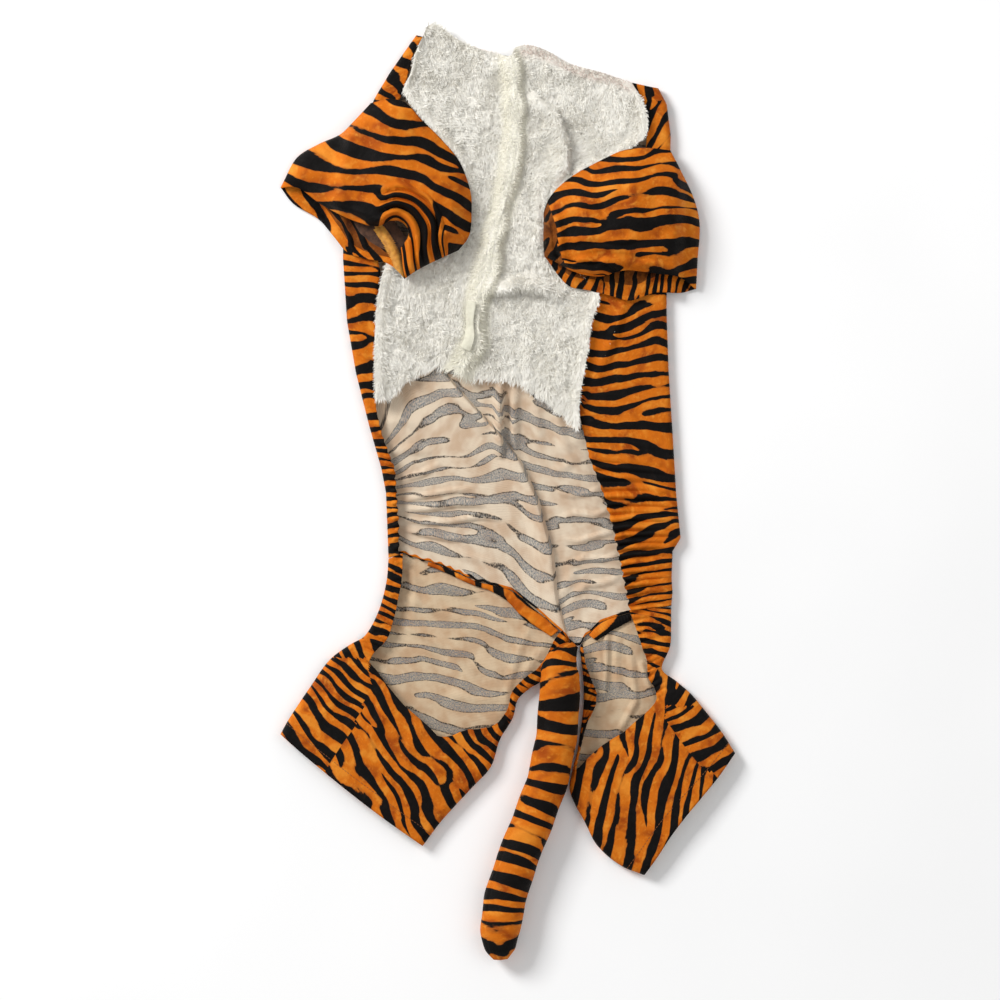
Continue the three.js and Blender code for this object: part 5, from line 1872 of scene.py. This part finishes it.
@dataclass
class Tail:
    """The stuffed tail, with a seam along it and wrinkles near its root."""

    rows: Sequence[tuple[float, float, float, float, float]] = (
        (66.5, -151, 4.5, 4.6, 13), (58, -160, 13, 11.4, 27), (52, -172, 18.5, 11.6, 38),
        (51.5, -190, 20, 9, 38), (51.5, -212, 20.5, 2, 35), (48.5, -245, 20.5, 0, 33),
        (38.5, -290, 20.5, 0, 33), (24, -330, 20.5, 0, 32), (8.5, -367, 20.5, 0, 32),
        (-3, -405, 21, 0, 32), (-7.5, -437, 20, 0, 31), (-8, -456, 15, 3, 27),
        (-7.5, -465, 7, 9, 20),
    )
    around: int = 72
    rings: int = 190
    coarse_around: int = 16
    print_radius: float = 20.5
    print_pitch: float = 17.5

    def ring(self, row: np.ndarray, along: np.ndarray, around: int) -> np.ndarray:
        """Returns one ring of points about the tail's middle line."""
        x, y, half, low, high = row
        angle = np.arange(around) * math.tau / around
        rise = np.sign(np.sin(angle)) * np.abs(np.sin(angle)) ** 0.9
        flat = half * np.cos(angle)
        return np.stack([
            x - along[1] * flat, y + along[0] * flat, (low + high) / 2 + (high - low) / 2 * rise
        ], axis=-1)

    def lowest_corner(self) -> np.ndarray:
        """Returns the lowest corner of the tail's solid, before the model's shift."""
        rows = np.array(self.rows, float)
        rings = []
        for k, row in enumerate(rows):
            ahead = (rows[min(len(rows) - 1, k + 1)] - rows[max(0, k - 1)])[:2]
            rings.append(self.ring(row, ahead / np.linalg.norm(ahead), self.coarse_around))
        return np.vstack(rings).min(axis=0)

    def build(self, shift: np.ndarray, finish: bpy.types.Material) -> bpy.types.Object:
        """Makes the tail as a closed form."""
        rows = np.array(self.rows, float)
        run = run_of(np.hypot(*np.diff(rows[:, :2], axis=0).T))
        at = between(0, run[-1], np.linspace(0, 1, self.rings))
        table = np.stack([np.interp(at, run, rows[:, i]) for i in range(5)], axis=-1)
        kernel = np.exp(-np.linspace(-2, 2, 9) ** 2)
        kernel /= kernel.sum()
        for i in range(5):
            padded = np.pad(table[:, i], 4, mode="reflect", reflect_type="odd")
            table[:, i] = np.convolve(padded, kernel, mode="valid")
        ahead = unit(np.gradient(table[:, :2], axis=0))
        grid = np.array([self.ring(row, a, self.around) for row, a in zip(table, ahead)])
        middle = np.stack([table[:, 0], table[:, 1], (table[:, 3] + table[:, 4]) / 2], axis=-1)
        angle = (np.arange(self.around) * math.tau / self.around)[None]
        length = at[:, None]
        dents = (0.35 * np.sin(length / 7.5 + 2 * np.sin(angle + 1))
                 + 0.3 * np.sin(length / 17 + 3 * angle))
        root = np.exp(-((length - 26) / 16) ** 2)
        dents = dents + root * (-1.2 * np.abs(np.sin(length / 4.2 + np.cos(angle))) + 0.4)
        seam = -0.9 * np.exp(-(((angle - 2.5) / 0.09) ** 2))
        away = unit(grid - middle[:, None])
        grid = grid + away * (dents + seam)[..., None]
        grid[..., 2] = np.maximum(grid[..., 2], 0.0)
        inward = np.array([[0, 1, 0]])
        points = np.vstack([grid.reshape(-1, 3), middle[:1] + inward, middle[-1:] - inward])
        return self._object(points + shift, at, finish)

    def _faces(self) -> list[tuple[int, ...]]:
        """Returns the faces round the tail, then the caps at its root and at its tip."""
        rings, around = self.rings, self.around
        k, i = np.meshgrid(np.arange(rings - 1), np.arange(around), indexing="ij")
        j = (i + 1) % around
        low, high = k * around, (k + 1) * around
        sides = np.stack([low + i, low + j, high + j, high + i], -1).reshape(-1, 4).tolist()
        end, tip = (rings - 1) * around, rings * around
        pairs = [(turn, (turn + 1) % around) for turn in range(around)]
        caps = [(tip, after, turn) for turn, after in pairs]
        caps += [(tip + 1, end + turn, end + after) for turn, after in pairs]
        return [tuple(face) for face in sides] + caps

    def _object(self, points: np.ndarray, at: np.ndarray,
                finish: bpy.types.Material) -> bpy.types.Object:
        """Makes the mesh and lays its print round the tail.

        Args:
            points: the mesh's points in millimetres.
            at: distance of each ring from the root.
            finish: the cloth.

        Returns:
            The tail.
        """
        mesh = bpy.data.meshes.new("tail_plush")
        mesh.from_pydata((points * MM).tolist(), [], self._faces())
        mesh.materials.append(finish)
        layer = mesh.uv_layers.new(name=CLOTH_UV)
        uv = np.zeros((len(mesh.loops), 2))
        around, rings = self.around, self.rings
        k, i = np.meshgrid(np.arange(rings - 1), np.arange(around), indexing="ij")
        i = (i + around // 4) % around
        turn = np.stack([i, i + 1, i + 1, i], -1) / around * math.tau * self.print_radius
        run = np.stack([at[k], at[k], at[k + 1], at[k + 1]], -1)
        plan = np.stack([turn * 0.7, run], axis=-1)
        laid = turned(plan, 5, self.print_pitch, (352, 12)).reshape(-1, 2)
        uv[:len(laid)] = laid
        uv[len(laid):] = laid[-1]
        layer.data.foreach_set("uv", (uv * MM).astype(np.float32).ravel())
        mesh.polygons.foreach_set("use_smooth", np.ones(len(mesh.polygons), bool))
        mesh.update()
        return placed("tail_plush", mesh)


@dataclass
class SeatHem:
    """Binding of the seat edge, lying on a leg just beyond the back panel."""

    edge: Table
    start: float
    end: float
    widths: Table
    turn: float
    thick: float = 2.2
    clear: float = 3.3
    rows: int = 120

    def sheet(self) -> Cloth:
        """Returns the strip's wall."""
        top = Curve(self.edge)
        share = np.linspace(0, 1, self.rows)
        at = between(self.start, self.end, share)
        ahead = unit(top(np.minimum(1, at + 0.02)) - top(np.maximum(0, at - 0.02)))
        away = np.stack([ahead[:, 1], -ahead[:, 0]], axis=-1)
        part = np.linspace(0, 1, 9)
        wide = self.clear + read(self.widths, share)[:, None] * part[None]
        plan = top(at)[:, None] + away[:, None] * wide[..., None]
        pucker = 0.25 * np.sin(share[:, None] * 95) * np.sin(math.pi * part[None])
        z = SOLID_WALL + SEAM + 1.2 + 1.2 * np.sin(math.pi * part[None]) + pucker
        grid = np.concatenate([plan, z[..., None] * np.ones_like(plan[..., :1])], axis=-1)
        laid = turned(plan, self.turn, 22, (410, 30))
        return Cloth(grid, [laid], thick=self.thick, face_up=(40, 4))


@dataclass
class ClosureTape:
    """Closure tape on the slope of the placket's roll."""

    near: float = 0.9
    far: float = 7.2
    start: float = 0.78
    end: float = 0.93
    thick: float = 1.2

    def sheet(self, half: FurHalf) -> Cloth:
        """Returns the tape's wall on one half of the fur panel."""
        down = np.linspace(self.start, self.end, 40)[:, None]
        reach = np.linspace(self.near, self.far, 10)[None]
        row = half.surface(np.zeros(1), down[:, 0])
        span = (row[:, 3] + row[:, 4])[:, None]

        def spot(distance, share):
            """Returns the slab's mid-surface at a distance from the placket."""
            return half.surface(distance / span, share)[..., :3]

        across = spot(reach + 1, down) - spot(reach - 1, down)
        along = spot(reach, down + 0.01) - spot(reach, down - 0.01)
        normal = np.cross(across, along)
        normal *= np.sign(normal[..., 2:]) / np.linalg.norm(normal, axis=-1, keepdims=True)
        grid = spot(reach, down) + normal * (FUR / 2 + SEAM + self.thick / 2 + 0.3)
        return Cloth(grid, [grid[..., :2]], thick=self.thick, face_up=(10, 4))


@dataclass
class Stitching:
    """Rows of topstitching along the hems."""

    pitch: float = 3.4

    def build(self, name: str, lines: Sequence[np.ndarray], shift: np.ndarray,
              finish: bpy.types.Material) -> bpy.types.Object:
        """Makes the stitches along some lines.

        Args:
            name: the piece's name.
            lines: points of each row in millimetres.
            shift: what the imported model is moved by.
            finish: the thread.

        Returns:
            The stitches as one piece.
        """
        places, aims = [], []
        for line in lines:
            run = run_of(np.linalg.norm(np.diff(line, axis=0), axis=-1))
            at = np.arange(self.pitch / 2, run[-1], self.pitch)
            spots = [
                np.stack([np.interp(place, run, values) for values in line.T], axis=-1)
                for place in (at, at + 1, at - 1)
            ]
            places.append(spots[0])
            aims.append(unit(spots[1] - spots[2]))
        mesh = bpy.data.meshes.new(name + "_places")
        mesh.from_pydata(((np.vstack(places) + shift) * MM).tolist(), [], [])
        aim = mesh.attributes.new(ALONG, "FLOAT_VECTOR", "POINT")
        aim.data.foreach_set("vector", np.vstack(aims).astype(np.float32).ravel())
        return StitchTree().grow(placed(name + "_places", mesh), name, finish)


@dataclass
class Studio:
    """Pale floor, soft lights and the camera over the costume."""

    height: float = 6.0
    span: float = 1.0
    middle: Pair = (-0.0075, -0.008)
    floor_reach: float = 4.0
    floor_level: float = -0.0006
    sky_strength: float = 0.45

    def build(self) -> None:
        """Makes the stage."""
        scene = bpy.context.scene
        mesh = bpy.data.meshes.new("studio_floor")
        corners = ((-1, -1), (1, -1), (1, 1), (-1, 1))
        mesh.from_pydata(
            [(x * self.floor_reach, y * self.floor_reach, self.floor_level) for x, y in corners],
            [], [(0, 1, 2, 3)])
        mesh.materials.append(StudioPaper().material())
        floor = placed("studio_floor", mesh)
        self._light("key_light", place=(-3.3, 2.5, 2.9), size=1.7, power=225.0)
        self._light("fill_light", place=(3.0, 0.3, 4.6), size=4.0, power=45.0)
        world = bpy.data.worlds.new("studio_world")
        world.use_nodes = True
        sky = world.node_tree.nodes["Background"]
        sky.inputs["Color"].default_value = (1.0, 1.0, 1.0, 1.0)
        sky.inputs["Strength"].default_value = self.sky_strength
        scene.world = world
        scene.view_settings.view_transform = "Standard"
        camera = bpy.data.cameras.new("photo_camera")
        camera.angle = 2 * math.atan(self.span / 2 / self.height)
        camera.clip_end = 50.0
        stand = placed("photo_camera", camera)
        stand.location = (*self.middle, self.height)
        scene.camera = stand

    def _light(self, name: str, place: tuple, size: float, power: float) -> None:
        """Adds a soft square light that faces the costume.

        Args:
            name: the light's name.
            place: where it hangs, in metres.
            size: length of its side, in metres.
            power: in watts.
        """
        data = bpy.data.lights.new(name, "AREA")
        data.size = size
        data.energy = power
        lamp = placed(name, data)
        lamp.location = place
        x, y, z = place
        tilt = math.atan2(math.hypot(x, y), z)
        lamp.rotation_euler = (tilt, 0.0, math.atan2(-y, -x) - math.pi / 2)


class Costume:
    STITCHED_ROW = -8

    def __init__(self) -> None:
        """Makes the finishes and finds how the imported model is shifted."""
        self.finish = Finishes()
        self.shift = np.array(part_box("tail")[0]) / MM - Tail().lowest_corner()
        self.tiger = [self.finish.tiger, self.finish.wrong]
        log.info("the packed model is shifted by %s mm", np.round(self.shift, 3))

    def declare(self, piece: bpy.types.Object, slot: Slot, *nodes: str) -> None:
        """Ties a piece to the frame: its body, and the nodes it stands for, which it hides."""
        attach(piece, BODY)
        if nodes:
            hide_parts(*nodes)
        log.info("%s: %d faces", piece.name, len(piece.data.polygons))

    def cloth(self, wall: Cloth, name: str, slot: Slot, held: Held, rests: Sequence[str],
              materials: Sequence[bpy.types.Material], *nodes: str, goes_with: Sequence = ()):
        """Args:
            wall: the sheet's wall.
            name: the piece's name.
            slot: the record's slot of its finish; not used.
            held: how it is held; not used.
            rests: what it rests on; not used.
            materials: finish of its right and its wrong side.
            nodes: the solids it stands for.
            goes_with: pieces on it; not used.

        Returns:
            The piece.
        """
        piece = wall.mesh(name, self.shift, materials)
        self.declare(piece, slot, *nodes)
        flat, area = wall.flat_size()
        log.info("%s: cut %.0f by %.0f mm, %.4f square metres",
                 name, flat[0] / MM, flat[1] / MM, area)
        return piece

    def body(self) -> None:
        """Builds the back panel, the legs and the seat hems."""
        panel = BackPanel()
        self.cloth(panel.sheet(), "back_panel", Slot.TIGER, Held.FOLDED, ["studio_floor"],
                   self.tiger, "back_body")
        walls = [HindLeg(**LEG_LEFT).sheet(), HindLeg(**LEG_RIGHT).sheet()]
        for wall, side in zip(walls, ("left", "right")):
            self.cloth(wall, f"hind_leg_{side}", Slot.TIGER, Held.GATHERED, ["studio_floor"],
                       [self.finish.tiger, self.finish.leg_wrong_shaded], f"leg_{side}")
        left_widths = ((0, 2.2), (0.42, 3.5), (0.56, 9.5), (0.78, 14), (1, 9))
        right_widths = ((0, 9), (0.3, 12), (0.7, 10), (1, 6))
        hems = {
            "left": SeatHem(LEG_LEFT["top"], 0.2, 0.93, left_widths, -48),
            "right": SeatHem(LEG_RIGHT["top"], 0.16, 0.62, right_widths, 40),
        }
        for side, hem in hems.items():
            self.cloth(hem.sheet(), f"seat_binding_{side}", Slot.TIGER, Held.LAID,
                       [f"hind_leg_{side}"], self.tiger, f"seat_hem_{side}")
        lines = [wall.outer()[self.STITCHED_ROW, 2:-2] for wall in walls]
        seams = Stitching().build("casing_stitches", lines, self.shift, self.finish.thread)
        self.declare(seams, Slot.TIGER)

    def sleeves(self) -> None:
        """Builds the sleeves."""
        for shape in (SLEEVE_LEFT, SLEEVE_RIGHT):
            sleeve = Sleeve(**shape)
            wall = sleeve.sheet()
            # The sleeves' finishes: the velour, the painted shade knit, the hem fleece and the
            # painted shade copy of the velour.
            self.cloth(wall, f"puff_{sleeve.name}", Slot.TIGER, Held.GATHERED,
                       ["back_panel", "studio_floor"],
                       [self.finish.tiger, self.finish.deep, self.finish.fleece,
                        self.finish.shaded], sleeve.name)

    def fur(self) -> None:
        """Builds both halves of the fur panel and the closure tape."""
        halves = {
            "left": FurHalf("belly_left", True, FUR_SIDES["left"], 41),
            "right": FurHalf("belly_right", False, FUR_SIDES["right"], 43),
        }
        for side, half in halves.items():
            scalp = half.scalp()
            p = scalp.points
            faces = grid_faces(*p.shape[:2])
            if np.cross(p[1, 0] - p[0, 0], p[1, 1] - p[0, 0])[2] < 0:
                faces = faces[:, ::-1]
            source = make_object(f"scalp_{side}", (p.reshape(-1, 3) + self.shift) * MM, faces, [])
            for name, kind, key, values in (
                ("comb", "FLOAT_VECTOR", "vector", scalp.comb),
                ("long", "FLOAT", "value", scalp.long),
                ("cream", "FLOAT", "value", scalp.cream),
                ("blush", "FLOAT", "value", scalp.blush),
            ):
                attribute = source.data.attributes.new(name, kind, "POINT")
                attribute.data.foreach_set(key, values.astype(np.float32).ravel())
            tree = FurTree(half.strands, half.seed)
            pile = tree.grow(source, f"fur_pile_{side}", self.finish.fur)
            self.declare(pile, Slot.FUR)
            wall, _ = half.sheet()
            self.cloth(wall, f"fur_panel_{side}", Slot.FUR, Held.LAID, ["back_panel"],
                       [self.finish.nap] * 2, half.name, goes_with=[pile])
        self.cloth(ClosureTape().sheet(halves["left"]), "closure_strip", Slot.TAPE, Held.LAID,
                   ["fur_panel_left"], [self.finish.tape] * 2, "closure_tape")

    def tail(self) -> None:
        """Builds the stuffed tail."""
        piece = Tail().build(self.shift, self.finish.tiger)
        self.declare(piece, Slot.TIGER, "tail")


def main() -> None:
    """Builds the costume in its studio; the imported parts stay, hidden where a piece stands for
    them.
    """
    logging.basicConfig(level=logging.INFO, format="%(name)s: %(message)s")
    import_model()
    Studio().build()
    costume = Costume()
    costume.body()
    costume.sleeves()
    costume.fur()
    costume.tail()


if __name__ == "__main__":
    main()
